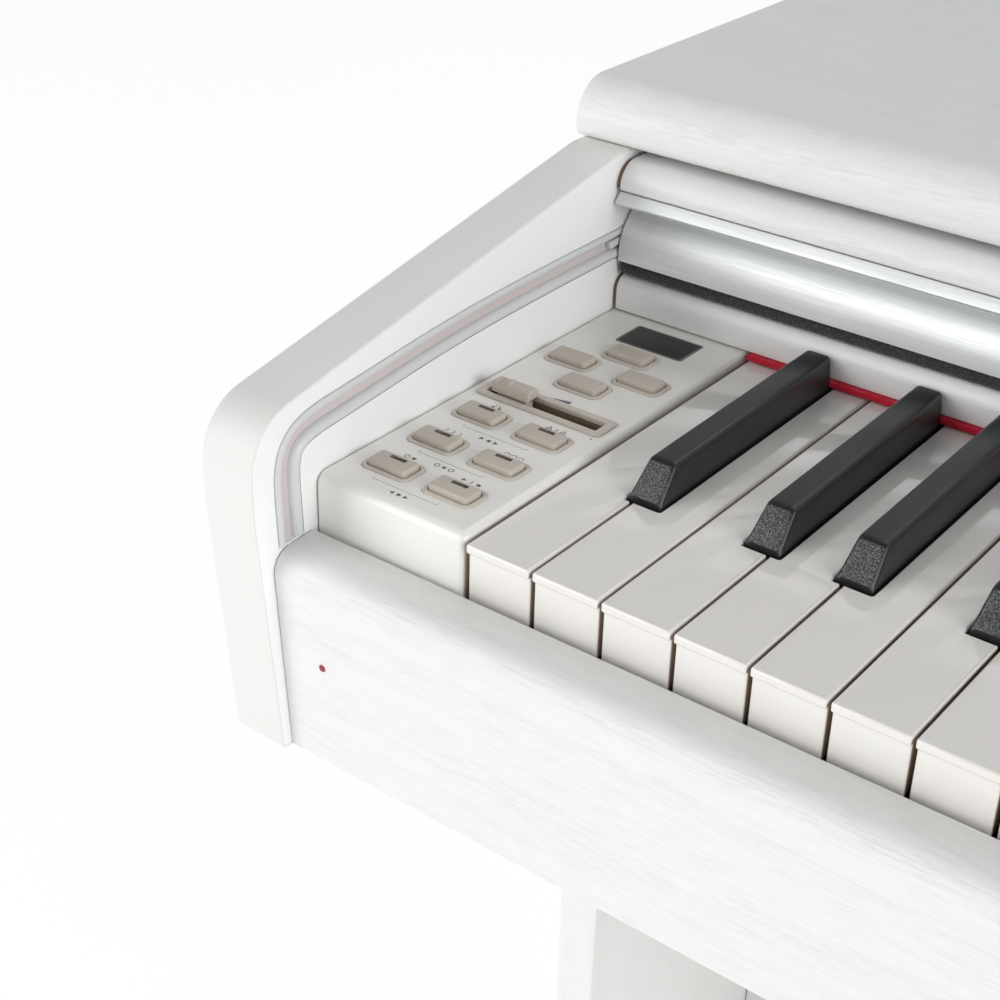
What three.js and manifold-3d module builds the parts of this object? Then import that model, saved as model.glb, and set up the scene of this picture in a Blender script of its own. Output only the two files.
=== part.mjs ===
// A digital piano on its stand: 88 keys, a sliding key cover, a control panel in the left end block,
// a music rest and three pedals. Millimetres, +Z up, +Y away from the player. The origin is on the
// floor under the middle of the instrument.
import * as THREE from "three";
import { mergeVertices } from "three/addons/utils/BufferGeometryUtils.js";
import Module from "manifold-3d";

const wasm = await Module();
wasm.setup();

// ---- Driving dimensions -------------------------------------------------------------------------
const KEY_PITCH = 23.5; // white key to white key
const KEY_COUNT = 88;
const WHITE_COUNT = 52;
const KEY_TOP = 735; // top of the white keys above the floor
const END_BLOCK = 58; // first key to the cheek's inner face
const BOARD = 20; // cheeks, legs and lid
const DEPTH = 430; // cheek front to back panel
const GAP = 0.4; // between pieces that touch on the real instrument

const KEYS_LONG = KEY_PITCH * WHITE_COUNT;
const INNER_LEFT = -END_BLOCK;
const INNER_RIGHT = KEYS_LONG + END_BLOCK;
const ARM_FRONT = -26.5; // cheek's front edge, in front of the keys
const BACK = ARM_FRONT + DEPTH;
const ARM_BOTTOM = -92; // underside of the console, below the key tops
const LID_UNDER = 61;
const LID_FRONT = 161.2;
const LID_TOP = LID_UNDER + BOARD;
const STRIP_FRONT = 157.5; // the strip that the keys run under
const CONSOLE_BOTTOM = KEY_TOP + ARM_BOTTOM;

// ---- Materials ----------------------------------------------------------------------------------
const paint = (color, roughness, metalness = 0) =>
  new THREE.MeshStandardMaterial({ color, roughness, metalness });
const materials = {
  lacquer: paint(0xf2f2f1, 0.45),
  track: paint(0xe3e2ec, 0.35),
  panelPlastic: paint(0xe9e7e2, 0.4),
  buttonPlastic: paint(0xc9c1b8, 0.5),
  whiteKey: paint(0xf0eeea, 0.2),
  blackKey: paint(0x1c1c1f, 0.45),
  aluminium: paint(0xc3c7c9, 0.3, 1),
  blackFelt: paint(0x1d1d1f, 1),
  redFelt: paint(0xc3082c, 1),
  display: paint(0x2b2a2a, 0.15),
  blackPlastic: paint(0x202022, 0.5),
  steel: paint(0x9a9ca0, 0.35, 1),
  brass: paint(0xc9a350, 0.22, 1),
  cone: paint(0x18181a, 0.8),
  lens: paint(0x8c1f1f, 0.2),
};

// ---- Geometry helpers ---------------------------------------------------------------------------
// A closed solid of a geometry, for cutting and joining.
function solid(geometry) {
  const bare = geometry.index ? geometry.toNonIndexed() : geometry.clone();
  bare.deleteAttribute("normal");
  bare.deleteAttribute("uv");
  const merged = mergeVertices(bare, 1e-4);
  return new wasm.Manifold(
    new wasm.Mesh({
      numProp: 3,
      vertProperties: merged.attributes.position.array,
      triVerts: new Uint32Array(merged.index.array),
    }),
  );
}

function geometryOf(made) {
  const mesh = made.getMesh();
  const geometry = new THREE.BufferGeometry();
  geometry.setAttribute("position", new THREE.BufferAttribute(mesh.vertProperties, 3));
  geometry.setIndex(new THREE.BufferAttribute(mesh.triVerts, 1));
  return geometry;
}

const join = (first, ...rest) => rest.reduce((sum, next) => sum.add(solid(next)), solid(first));
const cut = (body, ...tools) => tools.reduce((left, tool) => left.subtract(solid(tool)), body);

// A box between two corners.
function box(x0, x1, y0, y1, z0, z1) {
  const geometry = new THREE.BoxGeometry(x1 - x0, y1 - y0, z1 - z0);
  return geometry.translate((x0 + x1) / 2, (y0 + y1) / 2, (z0 + z1) / 2);
}

// A closed outline from corners [u, v, radius]; a corner with a radius becomes an arc.
function outline(corners) {
  const shape = new THREE.Shape();
  const count = corners.length;
  corners.forEach(([u, v, radius = 0], i) => {
    const corner = new THREE.Vector2(u, v);
    const [pu, pv] = corners[(i + count - 1) % count];
    const [nu, nv] = corners[(i + 1) % count];
    const back = new THREE.Vector2(pu, pv).sub(corner).normalize();
    const ahead = new THREE.Vector2(nu, nv).sub(corner).normalize();
    const add = (point) => (i ? shape.lineTo(point.x, point.y) : shape.moveTo(point.x, point.y));
    if (!radius) {
      add(corner);
      return;
    }
    const half = Math.acos(THREE.MathUtils.clamp(back.dot(ahead), -1, 1)) / 2;
    const reach = radius / Math.tan(half);
    const start = back.clone().multiplyScalar(reach).add(corner);
    const end = ahead.clone().multiplyScalar(reach).add(corner);
    const middle = back.clone().add(ahead).normalize().multiplyScalar(radius / Math.sin(half)).add(corner);
    const clockwise = back.cross(ahead) > 0;
    add(start);
    shape.absarc(
      middle.x,
      middle.y,
      radius,
      Math.atan2(start.y - middle.y, start.x - middle.x),
      Math.atan2(end.y - middle.y, end.x - middle.x),
      clockwise,
    );
  });
  shape.closePath();
  return shape;
}

const roundedBox = (x0, x1, y0, y1, radius) =>
  outline([[x0, y0, radius], [x1, y0, radius], [x1, y1, radius], [x0, y1, radius]]);

// A shape drawn in (x, y), extruded from z0 to z1.
function upright(shape, z0, z1, curveSegments = 2) {
  const settings = { depth: z1 - z0, bevelEnabled: false, curveSegments };
  return new THREE.ExtrudeGeometry(shape, settings).translate(0, 0, z0);
}

// A profile drawn in (y, z), extruded along X from x0 to x1.
const PROFILE_TO_ROW = new THREE.Matrix4().makeBasis(
  new THREE.Vector3(0, 1, 0),
  new THREE.Vector3(0, 0, 1),
  new THREE.Vector3(1, 0, 0),
);
function along(shape, x0, x1, curveSegments = 2) {
  const settings = { depth: x1 - x0, bevelEnabled: false, curveSegments };
  return new THREE.ExtrudeGeometry(shape, settings).applyMatrix4(PROFILE_TO_ROW).translate(x0, 0, 0);
}

// The outline of a strip of the given half width around a line of (y, z) points.
function band(line, halfWidth) {
  const side = (sign) =>
    line.map((point, i) => {
      const before = line[Math.max(i - 1, 0)];
      const after = line[Math.min(i + 1, line.length - 1)];
      const ahead = after.clone().sub(before).normalize();
      return new THREE.Vector2(-ahead.y, ahead.x).multiplyScalar(sign * halfWidth).add(point);
    });
  return new THREE.Shape([...side(-1), ...side(1).reverse()]);
}

// A cylinder along X.
const rodAlongX = (radius, x0, x1, y, z, sides = 12) =>
  new THREE.CylinderGeometry(radius, radius, x1 - x0, sides)
    .rotateZ(Math.PI / 2)
    .translate((x0 + x1) / 2, y, z);

// Mirrors a piece of the console from its left end to its right end.
function mirrored(made) {
  const flip = new THREE.Matrix4().makeScale(-1, 1, 1).setPosition(KEYS_LONG, 0, 0);
  return made.transform(flip.toArray());
}

function named(name, made, material) {
  const geometry = made.isBufferGeometry ? made : geometryOf(made);
  const mesh = new THREE.Mesh(geometry, material);
  mesh.name = name;
  return mesh;
}

// ---- Cheeks and the cover's tracks --------------------------------------------------------------
const TRACK_DEEP = 9.5;
const TRACK_HALF = 5.5; // outer half width
const SLOT_HALF = 4; // inner half width, in which the cover's pins run
const TRACK_WALL = 1.5;
const TRACK_END = 397;

// Middle line of the track: it slopes down gently to the front and then turns down. The two ends
// can reach past the track's own.
function trackLine(endDrop = 0, rearReach = 0) {
  const rear = new THREE.SplineCurve([
    new THREE.Vector2(TRACK_END + rearReach, 35.1),
    new THREE.Vector2(280, 31.1),
    new THREE.Vector2(160, 27.2),
    new THREE.Vector2(94, 26.4),
    new THREE.Vector2(56, 24.6),
    new THREE.Vector2(25, 21.9),
    new THREE.Vector2(5, 20),
  ]);
  const turn = new THREE.CubicBezierCurve(
    new THREE.Vector2(5, 20),
    new THREE.Vector2(-5, 19),
    new THREE.Vector2(-11.6, 14),
    new THREE.Vector2(-11.6, 4),
  );
  const bottom = new THREE.Vector2(-11, -17 - endDrop);
  return [...rear.getPoints(12), ...turn.getPoints(6).slice(1), bottom];
}

function cheekSolid() {
  const profile = outline([
    [-18.8, ARM_BOTTOM, 2.5],
    [ARM_FRONT, -3, 20],
    [ARM_FRONT, 26.7, 20],
    [157, LID_UNDER - GAP],
    [BACK, LID_UNDER - GAP],
    [BACK, ARM_BOTTOM],
  ]);
  const panel = solid(along(profile, INNER_LEFT - BOARD, INNER_LEFT, 5));
  const groove = along(band(trackLine(GAP, GAP), TRACK_HALF + GAP), INNER_LEFT - TRACK_DEEP - GAP, INNER_LEFT + 1);
  return cut(panel, groove);
}

function trackSolid() {
  const strip = solid(along(band(trackLine(), TRACK_HALF), INNER_LEFT - TRACK_DEEP, INNER_LEFT - 0.2));
  const line = trackLine(-TRACK_WALL, 1);
  const slot = along(band(line, SLOT_HALF), INNER_LEFT - TRACK_DEEP + TRACK_WALL, INNER_LEFT + 1);
  return cut(strip, slot);
}

// ---- Case boards --------------------------------------------------------------------------------
const SPEAKER_X = [190, KEYS_LONG - 190];
const SPEAKER_Y = 315;
const SPEAKER_HOLE = 38; // half the side of the square hole under each speaker
const BED_TOP = ARM_BOTTOM + 15;
const SLIP_BACK = -1.6;
const BACK_BOARD = 12;
const SOCKET_X = 860; // middle of the socket panel
const SOCKET_Z = -45;
const LED_X = -40.8;
const LED_Z = -52.7;

function keyBed() {
  const board = solid(box(INNER_LEFT + GAP, INNER_RIGHT - GAP, SLIP_BACK + GAP, BACK - BACK_BOARD - GAP, ARM_BOTTOM, BED_TOP));
  const half = SPEAKER_HOLE;
  const hole = (x) => box(x - half, x + half, SPEAKER_Y - half, SPEAKER_Y + half, ARM_BOTTOM - 1, BED_TOP + 1);
  return cut(board, ...SPEAKER_X.map(hole));
}

// The rail in front of the keys, rounded along its top front edge.
function keySlip() {
  const profile = outline([
    [SLIP_BACK, ARM_BOTTOM],
    [SLIP_BACK, -16.6, 0.8],
    [-19.9, -17.4, 7.5],
    [-14.9, ARM_BOTTOM, 0.8],
  ]);
  const rail = solid(along(profile, INNER_LEFT + GAP, INNER_RIGHT - GAP, 4));
  const ledHole = new THREE.CylinderGeometry(1.5, 1.5, 12, 16).translate(LED_X, -15, LED_Z);
  return cut(rail, ledHole);
}

const powerLed = () => new THREE.CylinderGeometry(1.1, 1.1, 6, 16).translate(LED_X, -14.3, LED_Z);

const lid = () =>
  along(
    outline([[LID_FRONT, LID_UNDER, 3.5], [BACK, LID_UNDER], [BACK, LID_TOP, 2], [LID_FRONT, LID_TOP, 15]]),
    INNER_LEFT - BOARD - 2,
    INNER_RIGHT + BOARD + 2,
    5,
  );

function backPanel() {
  const board = solid(
    box(INNER_LEFT + GAP, INNER_RIGHT - GAP, BACK - BACK_BOARD, BACK, ARM_BOTTOM, LID_UNDER - GAP),
  );
  return cut(board, box(SOCKET_X - 40, SOCKET_X + 40, BACK - 20, BACK + 1, SOCKET_Z - 14, SOCKET_Z + 14));
}

// Sockets in the back: mains adaptor, pedal lead and computer lead.
function socketPanel() {
  const plate = join(
    box(SOCKET_X - 39.6, SOCKET_X + 39.6, BACK - 11, BACK - 1.5, SOCKET_Z - 13.6, SOCKET_Z + 13.6),
  );
  const round = (x, radius) =>
    new THREE.CylinderGeometry(radius, radius, 20, 20).translate(SOCKET_X + x, BACK + 1, SOCKET_Z);
  const square = box(SOCKET_X + 18, SOCKET_X + 30, BACK - 9, BACK + 1, SOCKET_Z - 5.5, SOCKET_Z + 5.5);
  return cut(plate, round(-24, 5), round(0, 6), square);
}

const nameStrip = () =>
  along(
    outline([[STRIP_FRONT, 2.6, 0.4], [STRIP_FRONT + 18, 2.6], [STRIP_FRONT + 18, 15, 1], [STRIP_FRONT, 15, 5.5]]),
    INNER_LEFT + 0.8,
    INNER_RIGHT - 0.8,
    4,
  );

const redFelt = () => box(0.6, KEYS_LONG - 0.6, STRIP_FRONT - 2.4, STRIP_FRONT + 12, 0.4, 2.3);

// ---- Key cover ----------------------------------------------------------------------------------
const COVER_END = 1.2; // clearance to each cheek
const COVER_BACK = 385;
const COVER_LEFT = INNER_LEFT + COVER_END;
const COVER_RIGHT = INNER_RIGHT - COVER_END;
const PIN_RADIUS = 2;
const PIN_FRONT = [180, 27.9]; // (y, z) of the front pins
const PIN_TRAVEL_SLOPE = 0.034;

// The cover's board, with a round nose along its front edge.
const coverBoard = () =>
  along(
    outline([[155.8, 48, 0.8], [COVER_BACK, 48], [COVER_BACK, 57.8], [155.8, 57.8, 8.5]]),
    COVER_LEFT,
    COVER_RIGHT,
    5,
  );

// The aluminium section under the nose: a lip for the fingers over a hollow front face.
function coverTrim() {
  const section = new THREE.Shape();
  section.moveTo(175, 47.4);
  section.lineTo(157, 47.4);
  section.lineTo(154.2, 43.9);
  section.lineTo(155.3, 42.7);
  section.lineTo(165.2, 41.4);
  section.splineThru([
    [166.4, 39.8],
    [165.6, 38.3],
    [163, 35.4],
    [161, 33.1],
    [159.6, 30.4],
    [158.6, 27.5],
    [158.3, 23.7],
    [158.1, 20.6],
  ].map(([y, z]) => new THREE.Vector2(y, z)));
  section.lineTo(175, 20.6);
  section.closePath();
  return along(section, COVER_LEFT, COVER_RIGHT);
}

const coverFelt = () => box(COVER_LEFT + 1, COVER_RIGHT - 1, 159, 168, 16.1, 20.2);

// A steel plate under the cover's end, with two pins that run in the track.
function coverRunner() {
  const x = COVER_LEFT + 2;
  const pin = ([y, z]) => rodAlongX(PIN_RADIUS, INNER_LEFT - 7, x + 1, y, z);
  const rise = (COVER_BACK - 8 - PIN_FRONT[0]) * PIN_TRAVEL_SLOPE;
  const rear = [COVER_BACK - 8, PIN_FRONT[1] + rise];
  const plate = outline([
    [PIN_FRONT[0] - 4.5, PIN_FRONT[1] - 5, 3],
    [COVER_BACK - 3, rear[1] - 5, 3],
    [COVER_BACK - 3, 47.6],
    [PIN_FRONT[0] - 4.5, 47.6],
  ]);
  return join(along(plate, x, x + 3), pin(PIN_FRONT), pin(rear));
}

// ---- Control panel in the left end block --------------------------------------------------------
const PANEL_TOP = 1.9;
const PANEL_SKIN = 2.4;
const BLOCK_FLOOR = BED_TOP + GAP;
const RIM = [19, 12, 3]; // width, depth and corner radius of a button's surround
const CAP = [15, 8, 1.4];
const CAP_TOP = 4.4;
const BUTTONS = {
  button_cursor_left: [-43.8, 113.8],
  button_cursor_up: [-29.5, 127.8],
  button_cursor_down: [-29.4, 99.4],
  button_cursor_right: [-15.6, 113.6],
  button_voice: [-42.2, 61.6],
  button_metronome: [-18.1, 61.4],
  button_reverb: [-42.2, 39.5],
  button_chorus: [-18.1, 39.4],
  button_record: [-42.2, 18.2],
  button_play: [-18.1, 18],
};
const SLIDER = { x0: -54.8, x1: -4.8, y0: 73.2, y1: 85.2, slotHalf: 2.6 };
const SLIDER_Y = (SLIDER.y0 + SLIDER.y1) / 2;
const KNOB = { x0: -49.8, x1: -34.6, half: 3, top: 6.8 };
const WINDOW = { x0: -42.2, x1: -14.8, y0: 136.4, y1: 152.4 };

const centred = ([x, y], [w, d, r], grow = 0) =>
  roundedBox(x - w / 2 - grow, x + w / 2 + grow, y - d / 2 - grow, y + d / 2 + grow, r + grow);

// The end block's moulded shell, open underneath, rounded along its top edges.
function endBlockShell(x0, x1) {
  const front = along(
    outline([[0.6, BLOCK_FLOOR], [STRIP_FRONT + 14, BLOCK_FLOOR], [STRIP_FRONT + 14, PANEL_TOP], [0.6, PANEL_TOP, 4]]),
    x0,
    x1,
  );
  const side = new THREE.ExtrudeGeometry(
    outline([[x0, BLOCK_FLOOR], [x1, BLOCK_FLOOR], [x1, PANEL_TOP, 2], [x0, PANEL_TOP, 0.6]]),
    { depth: STRIP_FRONT + 13, bevelEnabled: false, curveSegments: 2 },
  ).applyMatrix4(new THREE.Matrix4().makeRotationX(Math.PI / 2).setPosition(0, STRIP_FRONT + 13.9, 0));
  const shell = solid(front).intersect(solid(side));
  const hollow = box(x0 + PANEL_SKIN, x1 - PANEL_SKIN, 0.6 + PANEL_SKIN, STRIP_FRONT + 10, BLOCK_FLOOR - 1, PANEL_TOP - PANEL_SKIN);
  return cut(shell, hollow);
}

function controlPanel() {
  const openings = Object.values(BUTTONS).map((at) => upright(centred(at, RIM, 0.1), -3, 3));
  const slider = upright(roundedBox(SLIDER.x0, SLIDER.x1, SLIDER.y0, SLIDER.y1, 1.6), -3, 3, 1);
  const recess = upright(roundedBox(WINDOW.x0, WINDOW.x1, WINDOW.y0, WINDOW.y1, 1.2), 0.2, 3, 1);
  return cut(endBlockShell(INNER_LEFT + 0.7, -0.9), ...openings, slider, recess);
}

// One beige moulding under the panel: a plate whose surrounds stand up through the panel's openings.
function buttonFrame() {
  const under = PANEL_TOP - PANEL_SKIN - 0.3;
  const edge = 3.6;
  const plate = box(INNER_LEFT + edge, -edge, 6, 134, under - 1.4, under);
  const rims = Object.values(BUTTONS).map((at) => upright(centred(at, RIM, -0.25), under - 1, PANEL_TOP + 0.7));
  const bezelShape = roundedBox(SLIDER.x0 + 0.3, SLIDER.x1 - 0.3, SLIDER.y0 + 0.3, SLIDER.y1 - 0.3, 1.4);
  const bezel = upright(bezelShape, under - 1, PANEL_TOP + 0.7, 1);
  const holes = Object.values(BUTTONS).map((at) => upright(centred(at, CAP, 0.5), -10, 10, 1));
  const { slotHalf } = SLIDER;
  const slot = box(SLIDER.x0 + 3, SLIDER.x1 - 3, SLIDER_Y - slotHalf, SLIDER_Y + slotHalf, -10, 10);
  return cut(join(plate, ...rims, bezel), ...holes, slot);
}

// A button's cap, with a wider foot under the frame that keeps it in.
function buttonCap(at) {
  const [[x, y], [wide, deep]] = [at, CAP];
  const reach = 1.2; // past the cap on each side
  const stem = upright(centred(at, CAP), -5.6, CAP_TOP);
  const foot = box(x - wide / 2 - reach, x + wide / 2 + reach, y - deep / 2 - reach, y + deep / 2 + reach, -4.2, -2.6);
  return join(stem, foot);
}

// The volume slider's knob, with a grip ridge across its top and a tongue down through the slot.
function volumeKnob() {
  const { x0, x1, half, top } = KNOB;
  const grip = along(
    outline([
      [SLIDER_Y - half, PANEL_TOP + 1],
      [SLIDER_Y + half, PANEL_TOP + 1],
      [SLIDER_Y + half - 0.5, top, 1],
      [SLIDER_Y - half + 0.5, top, 1],
    ]),
    x0,
    x1,
    1,
  );
  const tongue = box(x0 + 1.5, x1 - 1.5, SLIDER_Y - 1.9, SLIDER_Y + 1.9, -6, PANEL_TOP + 2);
  const middle = (x0 + x1) / 2;
  const notch = rodAlongX(0.9, -3, 3, 0, 0, 12).rotateZ(Math.PI / 2).scale(1, 2, 1).translate(middle, SLIDER_Y, top + 0.35);
  return cut(join(grip, tongue), notch);
}

const displayWindow = () =>
  upright(roundedBox(WINDOW.x0 + 0.3, WINDOW.x1 - 0.3, WINDOW.y0 + 0.3, WINDOW.y1 - 0.3, 1), 0.5, PANEL_TOP + 0.15, 1);

// ---- Right end block ----------------------------------------------------------------------------
const POWER_AT = [KEYS_LONG + 29, 40];
const POWER_RADIUS = 6;

function rightEndBlock() {
  const shell = endBlockShell(KEYS_LONG + 0.9, INNER_RIGHT - 0.7);
  const [x, y] = POWER_AT;
  const hole = new THREE.CylinderGeometry(POWER_RADIUS + 0.4, POWER_RADIUS + 0.4, 12, 20);
  return cut(shell, hole.rotateX(Math.PI / 2).translate(x, y, 0));
}

function powerButton() {
  const points = [
    [0, -8],
    [3, -8],
    [3, -4.4],
    [POWER_RADIUS + 1, -4.4],
    [POWER_RADIUS + 1, -2.4],
    [POWER_RADIUS, -2.4],
    [POWER_RADIUS, 2.6],
    [POWER_RADIUS - 0.7, 3.3],
    [0, 3.1],
  ].map(([r, z]) => new THREE.Vector2(r, z));
  return new THREE.LatheGeometry(points, 20).rotateX(Math.PI / 2).translate(...POWER_AT, 0);
}

// ---- Keys ---------------------------------------------------------------------------------------
const HEAD = 50.5; // length of a white key in front of the black keys
const KEY_REAR = 224;
const KEY_DEEP = 22;
const KEY_SPACE = 0.5; // each key stands this far inside its share of the width
const PIVOT = { y: 215, z: -12 };
const BLACK = { front: 52, back: 152, width: 11.4, topWidth: 9.2, height: 11.5, nose: 8.8 };
const OCTAVE = [0, null, 1, null, 2, 3, null, 4, null, 5, null, 6]; // white keys among C to B
const BLACK_SHIFT = { 1: -2.9, 3: 2.9, 6: -3.9, 8: 0, 10: 3.5 }; // middle of a black key, from its gap
const FIRST_NOTE = 9; // the lowest key is an A

const noteOf = (key) => (key + FIRST_NOTE) % 12;
const isWhite = (key) => OCTAVE[noteOf(key)] !== null;
const whitesBelow = (key) => Array.from({ length: key }, (_, i) => i).filter(isWhite).length;
const blackMiddle = (key) => whitesBelow(key) * KEY_PITCH + BLACK_SHIFT[noteOf(key)];

// A white key: a full-width head, and a tail cut back beside each black neighbour.
function whiteKey(key) {
  const left = whitesBelow(key) * KEY_PITCH + KEY_SPACE;
  const right = left + KEY_PITCH - 2 * KEY_SPACE;
  const clear = BLACK.width / 2 + 0.8;
  const hasBlack = (k) => k >= 0 && k < KEY_COUNT && !isWhite(k);
  const tailLeft = hasBlack(key - 1) ? blackMiddle(key - 1) + clear : left;
  const tailRight = hasBlack(key + 1) ? blackMiddle(key + 1) - clear : right;
  const corners = [[left, 0], [right, 0]];
  if (tailRight < right) corners.push([right, HEAD], [tailRight, HEAD]);
  corners.push([tailRight, KEY_REAR], [tailLeft, KEY_REAR]);
  if (tailLeft > left) corners.push([tailLeft, HEAD], [left, HEAD]);
  const top = solid(upright(outline(corners), -KEY_DEEP, 0));
  const undercut = box(left - 1, right + 1, -1, 0.9, -KEY_DEEP - 1, -2.6);
  const heel = box(left - 1, right + 1, PIVOT.y - 22, KEY_REAR + 1, -KEY_DEEP - 1, -15);
  return cut(top, undercut, heel, box(left - 1, right + 1, STRIP_FRONT + 8, KEY_REAR + 1, -2, 1));
}

// A black key: a bevelled, sloping-fronted cap on a narrow tail.
function blackKey(key) {
  const middle = blackMiddle(key);
  const { front, back, width, topWidth, height, nose } = BLACK;
  const cap = solid(box(middle - width / 2, middle + width / 2, front, back, -KEY_DEEP + 4, height));
  const lean = Math.atan2((width - topWidth) / 2, height);
  const shaves = [-1, 1].map((side) =>
    box(-10, 10, -150, 150, -30, 40)
      .translate(side * 10, 0, 0)
      .rotateY(-side * lean)
      .translate(middle + (side * width) / 2, (front + back) / 2, 0),
  );
  const slope = along(
    outline([
      [front - 5, -0.5],
      [front, -0.5],
      [front + nose * 0.7, height * 0.86],
      [front + nose + 3, height + 1],
      [front - 5, height + 5],
    ]),
    middle - 10,
    middle + 10,
  );
  const tail = box(middle - 4, middle + 4, back - 1, KEY_REAR, -15, -2);
  const keel = box(middle - 4, middle + 4, front + 8, back, -KEY_DEEP, -10);
  return cut(cap, ...shaves, slope).add(solid(tail)).add(solid(keel));
}

const oneKey = (key) => (isWhite(key) ? whiteKey(key) : blackKey(key));

// A run of keys on one hinge bar, as a key module is moulded.
function keyModule(first, last) {
  const keys = Array.from({ length: last - first + 1 }, (_, i) => oneKey(first + i));
  const ends = [keys[0].boundingBox(), keys.at(-1).boundingBox()];
  const bar = solid(box(ends[0].min[0], ends[1].max[0], PIVOT.y - 6, KEY_REAR, -15, -9));
  return keys.reduce((sum, next) => sum.add(next), bar);
}

// The folded steel chassis under the keys: base, front guide rail and rear hinge rail.
const SHEET = 2.5;
function keyFrame() {
  const floor = BED_TOP + GAP;
  const front = 6;
  const rear = 240;
  const hinge = -16.5; // top of the rail that the keys' tails rest over
  const profile = outline([
    [front, floor],
    [rear, floor],
    [rear, hinge],
    [205, hinge],
    [205, hinge - SHEET],
    [rear - SHEET, hinge - SHEET],
    [rear - SHEET, floor + SHEET],
    [front + SHEET, floor + SHEET],
    [front + SHEET, -36],
    [front, -36],
  ]);
  return along(profile, 1, KEYS_LONG - 1);
}

// ---- Speakers -----------------------------------------------------------------------------------
// A driver facing down, with a flat grille across its front.
function speaker(x) {
  const points = [
    [0, -2],
    [54, -2],
    [54, 3],
    [46, 4],
    [26, 22],
    [26, 38],
    [0, 38],
  ].map(([r, z]) => new THREE.Vector2(r, z));
  return new THREE.LatheGeometry(points, 20).rotateX(Math.PI / 2).translate(x, SPEAKER_Y, BED_TOP + 2 + GAP);
}

// ---- Music rest ---------------------------------------------------------------------------------
const REST = { width: 640, tall: 178, thick: 9, ledge: 22, y: 214, lean: 20 };
const REST_AXIS = LID_TOP + 9;
const REST_HINGE = { x: 200, half: 12, radius: 5, pin: 2, hole: 2.4 };
const HINGE_PLACES = [KEYS_LONG / 2 - REST_HINGE.x, KEYS_LONG / 2 + REST_HINGE.x];

// The rest is drawn lying flat: x across, y up the panel from its hinge, z out of its front face.
function musicRest() {
  const { width, tall, thick, ledge, y, lean } = REST;
  const { half, radius, pin } = REST_HINGE;
  const middle = KEYS_LONG / 2;
  const [x0, x1] = [middle - width / 2, middle + width / 2];
  const face = thick / 2;
  const panel = upright(outline([[x0, -face], [x1, -face], [x1, tall, 26], [x0, tall, 26]]), -face, face, 4);
  const shelf = box(x0 + 20, x1 - 20, 3, 10, face - 1, face + ledge);
  const lip = box(x0 + 20, x1 - 20, 4, 16, face + ledge - 3, face + ledge);
  const room = (x) => box(x - half - 1, x + half + 1, -face - 1, radius + 1.5, -face - 1, face + 1);
  const rods = HINGE_PLACES.map((x) => rodAlongX(pin, x - half - 2, x + half + 2, 0, 0));
  const made = cut(join(panel, shelf, lip), ...HINGE_PLACES.map(room));
  const raised = new THREE.Matrix4()
    .makeRotationX(THREE.MathUtils.degToRad(90 - lean))
    .setPosition(0, y, REST_AXIS);
  return rods.reduce((sum, rod) => sum.add(solid(rod)), made).transform(raised.toArray());
}

// A thin rail screwed to the lid, with two stubs that hold the rest's pins.
function restHingeRail() {
  const { half, radius, hole } = REST_HINGE;
  const { y } = REST;
  const foot = LID_TOP + GAP;
  const strip = box(HINGE_PLACES[0] - half - 8, HINGE_PLACES[1] + half + 8, y - 9, y + 9, foot, foot + 1.4);
  const top = REST_AXIS + radius;
  const side = outline([[y - radius, foot], [y + radius, foot], [y + radius, top, radius], [y - radius, top, radius]]);
  const stubs = HINGE_PLACES.map((x) => along(side, x - half, x + half));
  const holes = HINGE_PLACES.map((x) => rodAlongX(hole, x - half - 1, x + half + 1, y, REST_AXIS));
  return cut(join(strip, ...stubs), ...holes);
}

// ---- Stand, in floor coordinates ----------------------------------------------------------------
const LEG_OUT = KEYS_LONG / 2 + END_BLOCK + BOARD; // outer face of the legs from the middle
const LEG = { y0: -14, y1: 196 };
const FOOT = { wide: 40, high: 46, y0: -200, y1: 206 };
const PEDAL_BOX = { y0: 58, y1: 142, z0: 34, z1: 118 };
const PEDAL_X = [-84, 0, 84];
const PEDAL = { y: 116, z: 74, length: 148, root: 20, toe: 31, thick: 6 };
const PEDAL_SWING = 8; // degrees

function leg() {
  const profile = outline([
    [LEG.y0, FOOT.high + GAP],
    [LEG.y1, FOOT.high + GAP],
    [LEG.y1, CONSOLE_BOTTOM - GAP],
    [LEG.y0, CONSOLE_BOTTOM - GAP],
  ]);
  return along(profile, -LEG_OUT, -LEG_OUT + BOARD);
}

function foot() {
  const profile = outline([
    [FOOT.y0, 0, 2],
    [FOOT.y1, 0, 2],
    [FOOT.y1, FOOT.high, 3],
    [LEG.y0 - 50, FOOT.high, 60],
    [FOOT.y0, 26, 10],
  ]);
  return along(profile, -LEG_OUT, -LEG_OUT + FOOT.wide, 4);
}

const mirrorX = (geometry) => solid(geometry).transform(new THREE.Matrix4().makeScale(-1, 1, 1).toArray());

const modestyBoard = () =>
  box(-LEG_OUT + BOARD + GAP, LEG_OUT - BOARD - GAP, 150, 165, 190, CONSOLE_BOTTOM - GAP - 60);

// The long box between the legs that houses the pedals, with a window in front for each one.
function pedalBox() {
  const { y0, y1, z0, z1 } = PEDAL_BOX;
  const span = LEG_OUT - FOOT.wide - GAP;
  const outer = solid(along(outline([[y0, z0, 3], [y1, z0], [y1, z1, 3], [y0, z1, 12]]), -span, span));
  const chamber = box(-130, 130, y0 + 6, y1 + 1, z0 + 12, z1 - 12);
  const windows = PEDAL_X.map((x) => box(x - 13, x + 13, y0 - 1, y0 + 8, PEDAL.z - 20, PEDAL.z + 6));
  return cut(outer, chamber, ...windows);
}

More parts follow.
